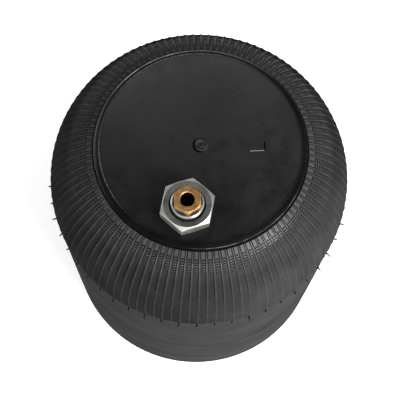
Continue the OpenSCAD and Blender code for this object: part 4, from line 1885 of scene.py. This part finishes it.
@dataclass
class HeadAssembly:
    """Everything that moves with the bead plate."""

    plate: BeadPlate
    port: AirPort

    def build(self, looks: Finishes) -> None:
        """Build and dress the plate and the air port.

        Args:
            looks: The part's materials.
        """
        plate = self.plate.build()
        self.plate.dress(plate, looks.paint, looks.tick_highlight, looks.tick_shadow)
        settle(plate, Body.HEAD, Slot.PAINT, looks.paint, "upper_bead_plate")
        port = self.port
        nut, stud, fitting = port.nut(), port.stud(), port.fitting()
        # Faces in the nut's mouth and on the stud below its end chamfer take painted shade.
        port.dress(nut, looks.zinc, looks.thread, port.stud_radius + port.nut_mouth * port.mouth_share,
                   port.plate_top, port.nut_top - port.mouth_skin)
        port.dress(stud, looks.stud, looks.thread, port.everywhere, port.plate_top,
                   port.stud_end - port.chamfer)
        # Faces in the fitting's bore take painted shade.
        port.dress(fitting, looks.brass, looks.bore, port.bore + port.bore_skin,
                   port.shank_low, port.hex_high - port.bore_chamfer)
        settle(nut, Body.HEAD, Slot.ZINC, looks.zinc, "stud_nut")
        settle(stud, Body.HEAD, Slot.ZINC, looks.stud, "air_stud")
        settle(fitting, Body.HEAD, Slot.BRASS, looks.brass, "air_fitting")


@dataclass
class BellowsAssembly:
    """The rubber sleeve in three lengths, and its whiskers."""

    form: BellowsForm
    lobe_clear: float = 0.008
    mould_clear: float = 0.002
    piston_clear: float = 0.010

    def build(self, looks: Finishes) -> None:
        """Build the sleeve's three lengths and its whiskers, and dress them.

        Args:
            looks: The part's materials.
        """
        f = self.form
        ribbed = BellowsShoulder(f)
        settle(ribbed.build(), Body.HEAD, Slot.RUBBER, looks.shoulder, "bellows")
        settle(Whiskers(f, ribbed.foot_x).build(), Body.HEAD, Slot.RUBBER, looks.whisker)
        wall = BellowsWall(f, ribbed.foot_x).build()
        self.stretch(wall, looks.wall, Body.BELLOWS, Body.HEAD)
        sleeve = BellowsSleeve(f).build()
        self.stretch(sleeve, looks.sleeve, Body.PISTON, Body.BELLOWS)

    def stretch(self, piece: bpy.types.Object, material: bpy.types.Material, first: Body, second: Body) -> None:
        """Dress a length of the sleeve, hide the CAD bellows and bake the length's placement into its mesh.

        Args:
            piece: The length's mesh.
            material: Its material.
            first: Body at its one end, named only in the log.
            second: Body at its other end, named only in the log.
        """
        piece.data.materials.append(material)
        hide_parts("bellows")
        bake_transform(piece)
        LOG.info("%s stretches from %s to %s", piece.name, first.value, second.value)


@dataclass
class InnerParts:
    """CAD solids of the piston and the small inner pieces, which only need dressing."""

    def dress(self, looks: Finishes) -> None:
        """Give every CAD node that stays its finished material.

        Args:
            looks: The part's materials.
        """
        dresses = {
            "piston": looks.plastic, "bumper": looks.bumper, "bead_retainer": looks.steel,
            "piston_bolt": looks.steel, "bolt_washer": looks.steel, "nut_washer": looks.steel,
            "bolt_nut": looks.steel, "bolt_seal": looks.seal, "mount_inserts": looks.insert,
            "lower_bead_core": looks.wire, "upper_bead_core": looks.wire, "stud_gasket": looks.seal,
            "fitting_seal": looks.seal, "fitting_grip_ring": looks.steel, "tube_seal": looks.seal,
        }
        for name, material in dresses.items():
            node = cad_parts[name]
            node.data.materials.clear()
            node.data.materials.append(material)
            LOG.info("%s is dressed in %s", name, material.name)


def main() -> None:
    """Build the studio, the head and the bellows in order, and dress the inner parts."""
    logging.basicConfig(level=logging.INFO, format="%(name)s: %(message)s")
    Studio().build()
    looks = Finishes()
    HeadAssembly(BeadPlate(), AirPort()).build(looks)
    BellowsAssembly(BellowsForm()).build(looks)
    InnerParts().dress(looks)


if __name__ == "__main__":
    main()
